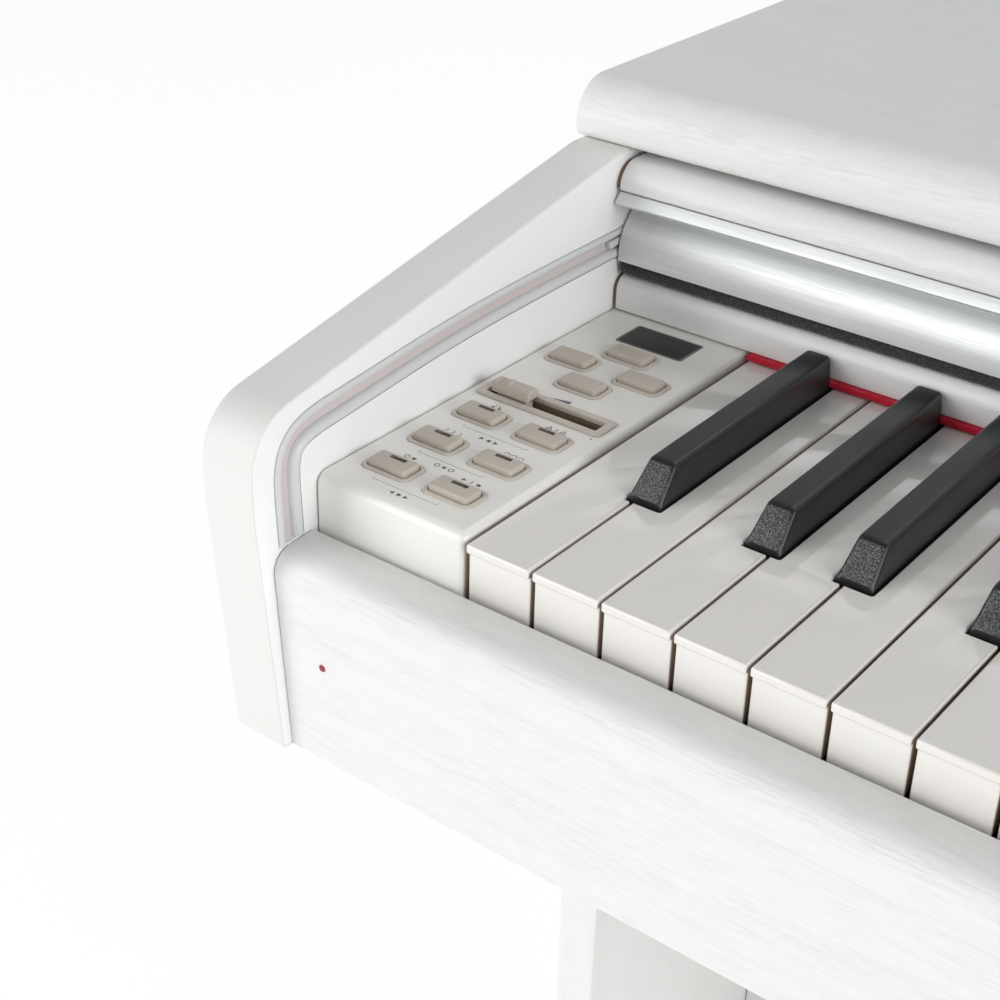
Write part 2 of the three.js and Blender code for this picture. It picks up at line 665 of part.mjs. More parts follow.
// A pedal: a plate that widens to a round toe, on a pivot boss inside the box.
function pedal(x) {
  const { y, z, length, root, toe, thick } = PEDAL;
  const plan = new THREE.Shape();
  const tip = y - length + toe / 2;
  plan.moveTo(x - root / 2, y);
  plan.lineTo(x - root / 2, y - 70);
  plan.bezierCurveTo(x - root / 2, y - 95, x - toe / 2, tip + 24, x - toe / 2, tip);
  plan.absarc(x, tip, toe / 2, Math.PI, 2 * Math.PI, false);
  plan.bezierCurveTo(x + toe / 2, tip + 24, x + root / 2, y - 95, x + root / 2, y - 70);
  plan.lineTo(x + root / 2, y);
  const plate = upright(plan, z - thick / 2, z + thick / 2, 4);
  return join(plate, rodAlongX(6, x - root / 2, x + root / 2, y - 2, z, 16));
}

// ---- Assembly -----------------------------------------------------------------------------------
const piano = new THREE.Group();

const console_ = new THREE.Group(); // its origin is the front left corner of the keys' top
console_.position.set(-KEYS_LONG / 2, -DEPTH / 2 - ARM_FRONT, KEY_TOP);
const stand = new THREE.Group();
piano.add(console_, stand);

const cheek = cheekSolid();
const track = trackSolid();
const runner = coverRunner();
console_.add(
  named("left_cheek", cheek, materials.lacquer),
  named("right_cheek", mirrored(cheek), materials.lacquer),
  named("left_cover_track", track, materials.track),
  named("right_cover_track", mirrored(track), materials.track),
  named("key_bed", keyBed(), materials.lacquer),
  named("key_slip", keySlip(), materials.lacquer),
  named("power_led", powerLed(), materials.lens),
  named("lid", lid(), materials.lacquer),
  named("back_panel", backPanel(), materials.lacquer),
  named("socket_panel", socketPanel(), materials.blackPlastic),
  named("name_strip", nameStrip(), materials.lacquer),
  named("red_felt", redFelt(), materials.redFelt),
  named("key_cover_board", coverBoard(), materials.lacquer),
  named("key_cover_trim", coverTrim(), materials.aluminium),
  named("key_cover_felt", coverFelt(), materials.blackFelt),
  named("left_cover_runner", runner, materials.steel),
  named("right_cover_runner", mirrored(runner), materials.steel),
  named("control_panel", controlPanel(), materials.panelPlastic),
  named("button_frame", buttonFrame(), materials.buttonPlastic),
  named("display_window", displayWindow(), materials.display),
  named("volume_knob", volumeKnob(), materials.buttonPlastic),
  named("right_end_block", rightEndBlock(), materials.panelPlastic),
  named("power_button", powerButton(), materials.buttonPlastic),
  named("key_frame", keyFrame(), materials.steel),
  named("left_speaker", speaker(SPEAKER_X[0]), materials.cone),
  named("right_speaker", speaker(SPEAKER_X[1]), materials.cone),
  named("music_rest", musicRest(), materials.lacquer),
  named("rest_hinge_rail", restHingeRail(), materials.steel),
);
for (const [name, at] of Object.entries(BUTTONS)) {
  console_.add(named(name, buttonCap(at), materials.buttonPlastic));
}
const SINGLE_KEYS = ["key_a0", "key_a_sharp0", "key_b0", "key_c1", "key_c_sharp1", "key_d1"];
SINGLE_KEYS.forEach((name, key) => {
  console_.add(named(name, oneKey(key), isWhite(key) ? materials.whiteKey : materials.blackKey));
});
for (let octave = 1; octave <= 7; octave += 1) {
  const start = 12 * octave - FIRST_NOTE;
  const first = Math.max(start, SINGLE_KEYS.length);
  const last = octave === 7 ? KEY_COUNT - 1 : start + 11;
  console_.add(named(`keys_octave_${octave}`, keyModule(first, last), materials.whiteKey));
}

stand.add(
  named("left_leg", leg(), materials.lacquer),
  named("right_leg", mirrorX(leg()), materials.lacquer),
  named("left_foot", foot(), materials.lacquer),
  named("right_foot", mirrorX(foot()), materials.lacquer),
  named("modesty_board", modestyBoard(), materials.lacquer),
  named("pedal_box", pedalBox(), materials.lacquer),
);
["pedal_soft", "pedal_sostenuto", "pedal_sustain"].forEach((name, i) => {
  stand.add(named(name, pedal(PEDAL_X[i]), materials.brass));
});

export default piano;
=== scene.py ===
"""Looks of a digital piano on its stand. Sizes are in millimetres in the console's own frame, whose
origin is the front left corner of the keys' top; every mesh is written in metres in the shared frame."""

import math
import random

import bmesh
import bpy
from mathutils import Matrix, Vector


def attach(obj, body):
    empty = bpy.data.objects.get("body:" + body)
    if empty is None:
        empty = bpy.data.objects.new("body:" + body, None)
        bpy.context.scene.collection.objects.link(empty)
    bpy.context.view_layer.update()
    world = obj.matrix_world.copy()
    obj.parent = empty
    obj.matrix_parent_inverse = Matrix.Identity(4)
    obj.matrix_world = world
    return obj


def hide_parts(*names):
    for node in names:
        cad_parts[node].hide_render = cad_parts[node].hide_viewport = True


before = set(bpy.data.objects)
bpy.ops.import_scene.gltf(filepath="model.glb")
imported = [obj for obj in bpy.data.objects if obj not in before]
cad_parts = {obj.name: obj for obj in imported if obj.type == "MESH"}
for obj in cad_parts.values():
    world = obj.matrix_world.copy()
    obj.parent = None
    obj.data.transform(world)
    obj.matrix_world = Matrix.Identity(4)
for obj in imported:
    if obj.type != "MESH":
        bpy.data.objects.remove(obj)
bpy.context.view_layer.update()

# ---- Driving dimensions -------------------------------------------------------------------------
KEY_PITCH = 23.5
WHITE_COUNT = 52
KEY_COUNT = 88
KEYS_LONG = KEY_PITCH * WHITE_COUNT
KEY_TOP = 735.0
DEPTH = 430.0
END_BLOCK = 58.0
BOARD = 20.0
INNER_LEFT = -END_BLOCK
INNER_RIGHT = KEYS_LONG + END_BLOCK
ARM_FRONT = -26.5
ARM_BOTTOM = -92.0
BACK = ARM_FRONT + DEPTH
LID_UNDER = 61.0
LID_TOP = LID_UNDER + BOARD
LID_FRONT = 161.2
STRIP_FRONT = 157.5
GAP = 0.4
MM = 0.001
CONSOLE = Vector((-KEYS_LONG / 2, -DEPTH / 2 - ARM_FRONT, KEY_TOP)) * MM

PANEL_TOP = 1.9
RIM = (19.0, 12.0, 3.0)
CAP = (15.0, 8.0, 1.4)
CAP_TOP = 4.4
BUTTONS = {
    "button_cursor_left": (-43.8, 113.8),
    "button_cursor_up": (-29.5, 127.8),
    "button_cursor_down": (-29.4, 99.4),
    "button_cursor_right": (-15.6, 113.6),
    "button_voice": (-42.2, 61.6),
    "button_metronome": (-18.1, 61.4),
    "button_reverb": (-42.2, 39.5),
    "button_chorus": (-18.1, 39.4),
    "button_record": (-42.2, 18.2),
    "button_play": (-18.1, 18.0),
}
LAMP_BUTTONS = list(BUTTONS)[4:]
SLIDER = (-54.8, -4.8, 73.2, 85.2)
WINDOW = (-42.2, -14.8, 136.4, 152.4)
KNOB = (-49.8, -34.6)
KNOB_TOP = 6.8
TRACK_HALF = 5.2

# ---- Geometry helpers ---------------------------------------------------------------------------
# Planes to draw an outline in: (y, z), (x, z) and (x, y), each extruded along the axis it's named by.
ALONG_X = Matrix(((0, 0, 1, 0), (1, 0, 0, 0), (0, 1, 0, 0), (0, 0, 0, 1)))
ALONG_Y = Matrix(((1, 0, 0, 0), (0, 0, 1, 0), (0, 1, 0, 0), (0, 0, 0, 1)))
ALONG_Z = Matrix.Identity(4)
SHARP = 32  # degrees between faces, from which an edge is drawn sharp
SAME_POINT = 0.002


def corners(points, steps=8):
    """A closed outline from corners (u, v, radius); a corner with a radius becomes an arc."""
    made = []
    count = len(points)
    for i, point in enumerate(points):
        corner = Vector(point[:2])
        radius = point[2] if len(point) > 2 else 0
        if not radius:
            made.append(corner)
            continue
        back = (Vector(points[i - 1][:2]) - corner).normalized()
        ahead = (Vector(points[(i + 1) % count][:2]) - corner).normalized()
        half = back.angle(ahead) / 2
        reach = radius / math.tan(half)
        start = corner + back * reach
        end = corner + ahead * reach
        middle = corner + (back + ahead).normalized() * radius / math.sin(half)
        first = start - middle
        turn = first.angle_signed(end - middle)
        for step in range(steps + 1):
            angle = -turn * step / steps
            made.append(middle + Matrix.Rotation(angle, 2) @ first)
    return made


def rectangle(x0, x1, y0, y1, radius=0.0, steps=6):
    return corners([(x0, y0, radius), (x1, y0, radius), (x1, y1, radius), (x0, y1, radius)], steps)


def centred(at, size, grow=0.0, steps=6):
    (x, y), (wide, deep, radius) = at, size
    wide, deep = wide / 2 + grow, deep / 2 + grow
    return rectangle(x - wide, x + wide, y - deep, y + deep, radius + grow, steps)


def inside(box, inset, radius):
    """The outline of a rectangle moved inwards."""
    x0, x1, y0, y1 = box
    return rectangle(x0 + inset, x1 - inset, y0 + inset, y1 - inset, radius)


def circle(x, y, radius, count):
    angles = [2 * math.pi * i / count for i in range(count)]
    return [Vector((x + radius * math.cos(a), y + radius * math.sin(a))) for a in angles]


def catmull(points, steps=6):
    """A smooth line through the given points."""
    points = [Vector(point) for point in points]
    line = []
    padded = [points[0] * 2 - points[1], *points, points[-1] * 2 - points[-2]]
    for a, b, c, d in zip(padded, padded[1:], padded[2:], padded[3:]):
        for step in range(steps):
            t = step / steps
            square = (2 * a - 5 * b + 4 * c - d) * t * t
            cube = (3 * b - a - 3 * c + d) * t**3
            line.append(0.5 * (2 * b + (c - a) * t + square + cube))
    line.append(points[-1])
    return line


def offset_line(line, distance):
    """The line moved sideways, to its left when walking along it."""
    moved = []
    for i, point in enumerate(line):
        ahead = (line[min(i + 1, len(line) - 1)] - line[max(i - 1, 0)]).normalized()
        moved.append(point + Vector((-ahead.y, ahead.x)) * distance)
    return moved


def inset_profile(profile, distance):
    """The corner list moved inwards by a distance, with each radius made smaller by it."""
    count = len(profile)
    centre = Vector((sum(p[0] for p in profile), sum(p[1] for p in profile))) / count
    moved = []
    for i, point in enumerate(profile):
        corner = Vector(point[:2])
        lines = []
        for other in (profile[i - 1], profile[(i + 1) % count]):
            along = (Vector(other[:2]) - corner).normalized()
            normal = Vector((-along.y, along.x))
            if normal.dot(centre - corner) < 0:
                normal = -normal
            lines.append((corner + normal * distance, along))
        (a, u), (b, v) = lines
        t = (b - a).cross(v) / u.cross(v)
        meet = a + u * t
        radius = point[2] - distance if len(point) > 2 else 0
        moved.append((meet.x, meet.y, max(radius, 0)))
    return moved


def tube(rings):
    """A closed skin through rings of points."""
    bm = bmesh.new()
    rings = [[bm.verts.new(point) for point in ring] for ring in rings]
    count = len(rings[0])
    for first, second in zip(rings, rings[1:]):
        for j in range(count):
            bm.faces.new((first[j], first[(j + 1) % count], second[(j + 1) % count], second[j]))
    bm.faces.new(rings[0])
    bm.faces.new(reversed(rings[-1]))
    bmesh.ops.recalc_face_normals(bm, faces=bm.faces)
    return bm


def finish_mesh(name, mesh, material, angle=SHARP):
    mesh.materials.append(material)
    for face in mesh.polygons:
        face.use_smooth = True
    mesh.set_sharp_from_angle(angle=math.radians(angle))
    piece = bpy.data.objects.new(name, mesh)
    bpy.context.collection.objects.link(piece)
    return piece


def extruded(loops, a, b, rim, plane, rim_steps):
    """A mesh of one outline and its holes, from a to b, with its end edges rounded by rim."""
    drawing = bpy.data.curves.new("drawing", "CURVE")
    drawing.dimensions = "2D"
    drawing.fill_mode = "BOTH"
    drawing.extrude = (b - a) / 2 - rim
    drawing.bevel_depth = rim
    drawing.bevel_resolution = rim_steps
    drawing.offset = -rim
    for loop in loops:
        spline = drawing.splines.new("POLY")
        spline.points.add(len(loop) - 1)
        for target, point in zip(spline.points, loop):
            target.co = (point[0], point[1], 0, 1)
        spline.use_cyclic_u = True
    holder = bpy.data.objects.new("drawing", drawing)
    mesh = bpy.data.meshes.new_from_object(holder)
    bpy.data.objects.remove(holder)
    bpy.data.curves.remove(drawing)
    mesh.transform(plane @ Matrix.Translation((0, 0, (a + b) / 2)))
    return mesh


def to_part(mesh):
    """Console millimetres to metres in the shared frame."""
    mesh.transform(Matrix.Translation(CONSOLE) @ Matrix.Scale(MM, 4))


def from_bmesh(name, bm, material, angle):
    """A piece made of a bmesh that was drawn in console millimetres."""
    mesh = bpy.data.meshes.new(name)
    bm.to_mesh(mesh)
    bm.free()
    to_part(mesh)
    return finish_mesh(name, mesh, material, angle)


def weld(mesh):
    bm = bmesh.new()
    bm.from_mesh(mesh)
    bmesh.ops.remove_doubles(bm, verts=bm.verts, dist=SAME_POINT)
    bmesh.ops.recalc_face_normals(bm, faces=bm.faces)
    bm.to_mesh(mesh)
    bm.free()


def solid(name, loops, a, b, material, rim, plane=ALONG_Z, rim_steps=2):
    """One closed piece: the first loop is its outline and the others are holes."""
    mesh = extruded(loops, a, b, rim, plane, rim_steps)
    weld(mesh)
    to_part(mesh)
    mesh.name = name
    return finish_mesh(name, mesh, material)


def joined(name, pieces):
    """Several pieces made into one object, with each one's material kept."""
    bm = bmesh.new()
    materials = []
    for piece in pieces:
        start = len(bm.faces)
        bm.from_mesh(piece.data)
        bm.faces.ensure_lookup_table()
        material = piece.data.materials[0]
        if material not in materials:
            materials.append(material)
        for face in bm.faces[start:]:
            face.material_index = materials.index(material)
    mesh = bpy.data.meshes.new(name)
    bm.to_mesh(mesh)
    bm.free()
    for material in materials:
        mesh.materials.append(material)
    for piece in pieces:
        bpy.data.objects.remove(piece)
    for face in mesh.polygons:
        face.use_smooth = True
    mesh.set_sharp_from_angle(angle=math.radians(SHARP))
    piece = bpy.data.objects.new(name, mesh)
    bpy.context.collection.objects.link(piece)
    return piece


def cut(piece, tool):
    """Takes the tool's shape out of the piece."""
    modifier = piece.modifiers.new("cut", "BOOLEAN")
    modifier.object = tool
    modifier.solver = "EXACT"
    graph = bpy.context.evaluated_depsgraph_get()
    mesh = bpy.data.meshes.new_from_object(piece.evaluated_get(graph))
    piece.modifiers.clear()
    old = piece.data
    piece.data = mesh
    mesh.name = piece.name
    bpy.data.meshes.remove(old)
    bpy.data.objects.remove(tool)
    mesh.set_sharp_from_angle(angle=math.radians(SHARP))


def mirrored(piece, name):
    """A copy of a piece for the console's other end."""
    mesh = piece.data.copy()
    mesh.transform(Matrix.Scale(-1, 4, (1, 0, 0)))
    mesh.flip_normals()
    mesh.name = name
    twin = bpy.data.objects.new(name, mesh)
    bpy.context.collection.objects.link(twin)
    return twin


def softened(node, name, material, width, segments=3):
    """A copy of a CAD node with its flat faces merged and its edges rounded."""
    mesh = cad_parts[node].data.copy()
    mesh.name = name
    mesh.materials.clear()
    bm = bmesh.new()
    bm.from_mesh(mesh)
    bmesh.ops.remove_doubles(bm, verts=bm.verts, dist=0.01 * MM)
    flat = math.radians(1.0)
    bmesh.ops.dissolve_limit(bm, angle_limit=flat, verts=bm.verts, edges=bm.edges)
    paired = [edge for edge in bm.edges if len(edge.link_faces) == 2]
    sharp = [edge for edge in paired if edge.calc_face_angle() > math.radians(SHARP)]
    bmesh.ops.bevel(
        bm, geom=sharp, offset=width * MM, segments=segments, profile=0.5, affect="EDGES",
        clamp_overlap=True, offset_type="OFFSET",
    )
    bm.to_mesh(mesh)
    bm.free()
    return finish_mesh(name, mesh, material, 40)


def place(piece, body, slot, *nodes):
    """Puts a finished piece on its body in place of the CAD nodes it stands for."""
    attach(piece, body)
    if nodes:
        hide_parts(*nodes)


def place_both(piece, body, slot, node):
    """Places a left-hand piece, and a mirrored copy of it at the right-hand end."""
    place(piece, body, slot, "left_" + node)
    place(mirrored(piece, piece.name.replace("left", "right")), body, slot, "right_" + node)


# ---- Material helpers ---------------------------------------------------------------------------
class Look:
    """A principled material and the nodes that give it its detail."""

    def __init__(self, name, colour, roughness, metallic=0.0, **sockets):
        self.material = bpy.data.materials.new(name)
        self.material.use_nodes = True
        self.tree = self.material.node_tree
        self.shader = self.tree.nodes["Principled BSDF"]
        self.shader.inputs["Base Color"].default_value = (*colour, 1)
        self.shader.inputs["Roughness"].default_value = roughness
        self.shader.inputs["Metallic"].default_value = metallic
        for socket, value in sockets.items():
            self.shader.inputs[socket.replace("_", " ")].default_value = value
        self.where = self.tree.nodes.new("ShaderNodeTexCoord").outputs["Object"]

    def link(self, source, target):
        self.tree.links.new(source, target)

    def stretched(self, size):
        """Object coordinates in units of a feature's size in millimetres, one number or one per axis."""
        lengths = [size] * 3 if isinstance(size, (int, float)) else size
        mapping = self.tree.nodes.new("ShaderNodeMapping")
        mapping.inputs["Scale"].default_value = [1 / (length * MM) for length in lengths]
        self.link(self.where, mapping.inputs["Vector"])
        return mapping.outputs["Vector"]

    def noise(self, size, detail=2.0, rough=0.5):
        texture = self.tree.nodes.new("ShaderNodeTexNoise")
        texture.inputs["Scale"].default_value = 1.0
        texture.inputs["Detail"].default_value = detail
        texture.inputs["Roughness"].default_value = rough
        self.link(self.stretched(size), texture.inputs["Vector"])
        return texture.outputs["Fac"]

    def cells(self, size):
        texture = self.tree.nodes.new("ShaderNodeTexVoronoi")
        texture.inputs["Scale"].default_value = 1.0
        self.link(self.stretched(size), texture.inputs["Vector"])
        return texture.outputs["Distance"]

    def side(self, source, axis):
        """One axis of the surface's direction or of the place on the object."""
        parts = self.tree.nodes.new("ShaderNodeSeparateXYZ")
        self.link(source, parts.inputs["Vector"])
        return parts.outputs[axis]

    def sideways(self, low, high):
        """1 where the surface faces left or right."""
        facing = self.side(self.tree.nodes.new("ShaderNodeNewGeometry").outputs["Normal"], "X")
        return self.levels(self.calculate("ABSOLUTE", facing, 0), low, high)

    def facing_front(self, low, high):
        """1 where the surface faces the player."""
        facing = self.side(self.tree.nodes.new("ShaderNodeNewGeometry").outputs["True Normal"], "Y")
        return self.levels(facing, -low, -high)

    def depth_below(self, start, end):
        """Grows from 0 to 1 between two depths, in millimetres, below the white keys' tops."""
        height = self.side(self.where, "Z")
        return self.levels(height, (KEY_TOP - start) * MM, (KEY_TOP - end) * MM)

    def levels(self, value, low, high, to_low=0.0, to_high=1.0):
        """The value stretched so that low..high becomes to_low..to_high."""
        ranged = self.tree.nodes.new("ShaderNodeMapRange")
        self.link(value, ranged.inputs["Value"])
        ends = {"From Min": low, "From Max": high, "To Min": to_low, "To Max": to_high}
        for socket, number in ends.items():
            ranged.inputs[socket].default_value = number
        return ranged.outputs["Result"]

    def calculate(self, operation, first, second):
        made = self.tree.nodes.new("ShaderNodeMath")
        made.operation = operation
        for socket, value in zip(made.inputs, (first, second)):
            if isinstance(value, (int, float)):
                socket.default_value = value
            else:
                self.link(value, socket)
        return made.outputs[0]

    def tint(self, amount, colour):
        """Blends a colour over the base colour by the given amount."""
        mix = self.tree.nodes.new("ShaderNodeMix")
        mix.data_type = "RGBA"
        base = self.shader.inputs["Base Color"]
        if base.is_linked:
            self.link(base.links[0].from_socket, mix.inputs["A"])
        else:
            mix.inputs["A"].default_value = base.default_value
        mix.inputs["B"].default_value = (*colour, 1)
        self.link(amount, mix.inputs["Factor"])
        self.link(mix.outputs["Result"], base)

    def patches(self, size, detail, low, high, amount, colour):
        """Blends in a colour in soft patches."""
        self.tint(self.levels(self.noise(size, detail), low, high, 0.0, amount), colour)

    def dust(self, spacing, radius, amount, colour):
        """Small specks, one to a cell of the spacing; the radius is a share of the spacing."""
        specks = self.levels(self.cells(spacing), 0.0, radius, 1.0, 0.0)
        self.tint(self.calculate("MULTIPLY", specks, amount), colour)

    def gloss(self, value, low, high, at_low, at_high):
        """The roughness goes from at_low to at_high as the value goes from low to high."""
        self.link(self.levels(value, low, high, at_low, at_high), self.shader.inputs["Roughness"])

    def bump(self, height, depth, strength=1.0):
        """Raises the surface by the height, times depth in millimetres."""
        made = self.tree.nodes.new("ShaderNodeBump")
        made.inputs["Distance"].default_value = depth * MM
        made.inputs["Strength"].default_value = strength
        normal = self.shader.inputs["Normal"]
        if normal.is_linked:
            self.link(normal.links[0].from_socket, made.inputs["Normal"])
        self.link(height, made.inputs["Height"])
        self.link(made.outputs["Normal"], normal)


# ---- Materials ----------------------------------------------------------------------------------
def wood_foil(name, along):
    """White foil embossed with fine wood pores that run along one axis."""
    look = Look(name, (0.82, 0.82, 0.81), 0.42, Specular_IOR_Level=0.45)
    pore = [0.5, 0.5, 0.5]
    pore["XYZ".index(along)] = 13.0
    wave = [7.0, 7.0, 7.0]
    wave["XYZ".index(along)] = 120.0
    pores = look.levels(look.noise(pore, 3, 0.6), 0.5, 0.66)
    drift = look.noise(wave, 2)
    depth = look.calculate("MULTIPLY", pores, look.levels(drift, 0.35, 0.65, 0.35, 1.0))
    look.tint(look.calculate("MULTIPLY", depth, 0.22), (0.6, 0.59, 0.57))
    look.tint(look.levels(drift, 0.3, 0.7, 0.0, 0.12), (0.76, 0.755, 0.74))
    look.gloss(depth, 0, 1, 0.38, 0.6)
    look.bump(depth, -0.085, 0.75)
    look.bump(look.noise(0.8, 2), 0.012, 0.5)
    return look.material


def smooth_laminate():
    """White laminate with a faint orange-peel texture."""
    look = Look("smooth_laminate", (0.875, 0.875, 0.875), 0.36, Specular_IOR_Level=0.45)
    peel = look.noise(1.1, 3, 0.6)
    look.gloss(peel, 0.3, 0.7, 0.32, 0.42)
    look.patches(60, 3, 0.35, 0.7, 0.1, (0.82, 0.815, 0.8))
    look.bump(peel, 0.03, 0.5)
    return look.material


def edge_band():
    look = Look("edge_band", (0.79, 0.785, 0.77), 0.4)
    peel = look.noise(1.4, 3, 0.6)
    look.gloss(peel, 0.3, 0.7, 0.36, 0.5)
    look.bump(peel, 0.03, 0.5)
    look.patches(35, 2, 0.4, 0.7, 0.12, (0.7, 0.69, 0.66))
    return look.material


def track_plastic():
    look = Look("track_plastic", (0.64, 0.645, 0.665), 0.36)
    peel = look.noise(2.5, 3, 0.6)
    look.gloss(peel, 0.35, 0.7, 0.32, 0.42)
    look.patches(40, 2, 0.4, 0.7, 0.15, (0.6, 0.6, 0.63))
    look.bump(peel, 0.006, 0.4)
    return look.material


def slot_plastic():
    look = Look("slot_plastic", (0.6, 0.535, 0.53), 0.55)
    wear = look.noise((20, 35, 20), 2)
    look.tint(look.levels(wear, 0.35, 0.7, 0.0, 0.3), (0.55, 0.49, 0.485))
    look.bump(look.noise(1.5, 2), 0.01, 0.4)
    return look.material


def panel_plastic():
    """Warm white moulded plastic with a soft sheen, a few specks of dust, and painted brown shade low on its
    sides.
    """
    look = Look("panel_plastic", (0.86, 0.85, 0.815), 0.24, Coat_Weight=0.3, Coat_Roughness=0.12)
    grain = look.noise(0.5, 2)
    look.gloss(grain, 0.3, 0.7, 0.22, 0.28)
    look.bump(grain, 0.002, 0.5)
    look.patches(40, 2, 0.35, 0.7, 0.15, (0.8, 0.785, 0.745))
    look.dust(3.1, 0.06, 0.35, (0.55, 0.54, 0.52))
    # Painted shade: the sides turn brown from 0.2 to 2.5 mm below the keys' tops, standing in for the shadowy
    # gap beside the keys.
    shade = look.calculate("MULTIPLY", look.sideways(0.75, 0.97), look.depth_below(0.2, 2.5))
    look.tint(look.calculate("MULTIPLY", shade, 0.8), (0.32, 0.22, 0.15))
    return look.material


def button_plastic():
    look = Look("button_plastic", (0.56, 0.505, 0.44), 0.46)
    grain = look.noise(0.28, 2)
    look.gloss(grain, 0.3, 0.7, 0.42, 0.58)
    look.bump(grain, 0.02, 0.6)
    look.patches(9, 2, 0.35, 0.7, 0.2, (0.52, 0.465, 0.4))
    return look.material


def surround_plastic():
    look = Look("surround_plastic", (0.6, 0.55, 0.485), 0.42)
    grain = look.noise(0.3, 2)
    look.gloss(grain, 0.3, 0.7, 0.36, 0.52)
    look.bump(grain, 0.015, 0.5)
    look.patches(12, 2, 0.35, 0.7, 0.2, (0.55, 0.5, 0.435))
    return look.material


def lamp_window():
    look = Look("lamp_window", (0.05, 0.04, 0.034), 0.3)
    look.patches(0.8, 2, 0.4, 0.7, 0.5, (0.03, 0.025, 0.022))
    look.gloss(look.noise(0.5, 2), 0.3, 0.7, 0.18, 0.34)
    return look.material


def print_ink():
    look = Look("print_ink", (0.11, 0.11, 0.12), 0.6)
    look.patches(0.3, 2, 0.45, 0.7, 0.4, (0.3, 0.3, 0.3))
    return look.material


def white_key_plastic():
    look = Look(
        "white_key_cap", (0.84, 0.82, 0.79), 0.1,
        Subsurface_Weight=0.1, Subsurface_Radius=(0.004, 0.003, 0.0022), Coat_Weight=0.8, Coat_Roughness=0.02,
    )
    smudges = look.noise((14, 30, 14), 4, 0.65)
    look.gloss(smudges, 0.35, 0.75, 0.07, 0.15)
    look.patches((20, 60, 20), 2, 0.35, 0.7, 0.16, (0.79, 0.765, 0.73))
    look.dust(2.3, 0.045, 0.3, (0.6, 0.6, 0.6))
    look.bump(look.noise((3, 9, 3), 2), 0.01, 0.3)
    # Painted shade: the key's sides turn warm brown from 0.5 to 1.8 mm below its top, standing in for the
    # shade in the gaps between keys.
    painted_gap_shade = look.calculate("MULTIPLY", look.sideways(0.7, 0.95), look.depth_below(0.5, 1.8))
    look.tint(look.calculate("MULTIPLY", painted_gap_shade, 0.85), (0.3, 0.19, 0.12))
    return look.material


def black_key_plastic():
    look = Look("black_key_cap", (0.014, 0.014, 0.0145), 0.36, Specular_IOR_Level=0.5)
    grain = look.noise(0.42, 2, 0.6)
    fine = look.noise(0.3, 2)
    front = look.calculate("SUBTRACT", look.facing_front(0.62, 0.68), look.facing_front(0.82, 0.9))
    look.gloss(fine, 0.3, 0.7, 0.32, 0.42)
    look.bump(look.calculate("MULTIPLY", grain, front), 0.16, 1.0)
    look.bump(fine, 0.006, 0.5)
    # Painted glints: the front slope is lightened to grey in a grain pattern, standing in for light reflected
    # on it.
    painted_glints = look.calculate("MULTIPLY", front, look.levels(grain, 0.46, 0.68))
    look.tint(look.calculate("MULTIPLY", painted_glints, 0.75), (0.3, 0.3, 0.33))
    look.dust(2.0, 0.07, 0.5, (0.35, 0.35, 0.35))
    return look.material


def brushed_aluminium():
    look = Look("brushed_aluminium", (0.82, 0.835, 0.842), 0.54, 0.75, Specular_IOR_Level=0.4)
    streaks = look.noise((30, 0.16, 0.16), 3, 0.65)
    broad = look.noise((160, 2.2, 2.2), 2)
    look.gloss(streaks, 0.3, 0.7, 0.46, 0.62)
    look.tint(look.levels(streaks, 0.35, 0.68, 0.0, 0.7), (0.62, 0.635, 0.645))
    look.tint(look.levels(broad, 0.35, 0.7, 0.0, 0.2), (0.74, 0.755, 0.76))
    look.bump(streaks, 0.02, 0.6)
    return look.material


def black_felt():
    look = Look("black_felt", (0.018, 0.018, 0.019), 0.95, Sheen_Weight=0.25, Sheen_Roughness=0.5)
    clumps = look.noise(0.7, 4, 0.75)
    look.tint(look.levels(clumps, 0.5, 0.68, 0.0, 0.7), (0.13, 0.13, 0.132))
    look.bump(clumps, 0.5, 0.9)
    return look.material


def red_felt():
    look = Look("red_felt", (0.66, 0.006, 0.035), 0.9, Sheen_Weight=0.6, Sheen_Roughness=0.45)
    look.shader.inputs["Sheen Tint"].default_value = (1.0, 0.25, 0.3, 1)
    fibres = look.noise((1.2, 0.35, 0.35), 4, 0.75)
    look.tint(look.levels(fibres, 0.4, 0.7, 0.0, 0.6), (0.42, 0.0, 0.02))
    look.bump(fibres, 0.35, 0.9)
    return look.material


def smoked_window():
    look = Look("smoked_window", (0.028, 0.026, 0.026), 0.4, Specular_IOR_Level=0.35)
    grain = look.noise(0.3, 2)
    look.tint(look.levels(grain, 0.4, 0.7, 0.0, 0.4), (0.06, 0.057, 0.055))
    look.dust(2.6, 0.07, 0.6, (0.5, 0.5, 0.5))
    return look.material


def window_border():
    look = Look("window_border", (0.19, 0.165, 0.155), 0.4)
    look.patches(0.6, 2, 0.4, 0.7, 0.4, (0.14, 0.12, 0.115))
    return look.material


def black_plastic():
    look = Look("black_plastic", (0.022, 0.022, 0.023), 0.45)
    grain = look.noise(0.6, 2)
    look.gloss(grain, 0.3, 0.7, 0.38, 0.56)
    look.patches(20, 2, 0.4, 0.7, 0.3, (0.04, 0.04, 0.042))
    look.bump(grain, 0.03, 0.6)
    return look.material


def paper_cone():
    look = Look("paper_cone", (0.02, 0.02, 0.022), 0.8)
    fibres = look.noise(1.5, 4, 0.7)
    look.tint(look.levels(fibres, 0.4, 0.7, 0.0, 0.5), (0.05, 0.05, 0.052))
    look.bump(fibres, 0.08, 0.7)
    return look.material


def zinc_steel():
    look = Look("zinc_steel", (0.55, 0.56, 0.57), 0.35, 1.0)
    spangle = look.cells(9)
    look.tint(look.levels(spangle, 0.2, 0.8, 0.0, 0.35), (0.42, 0.43, 0.45))
    look.gloss(look.noise(5, 3), 0.3, 0.7, 0.28, 0.46)
    return look.material


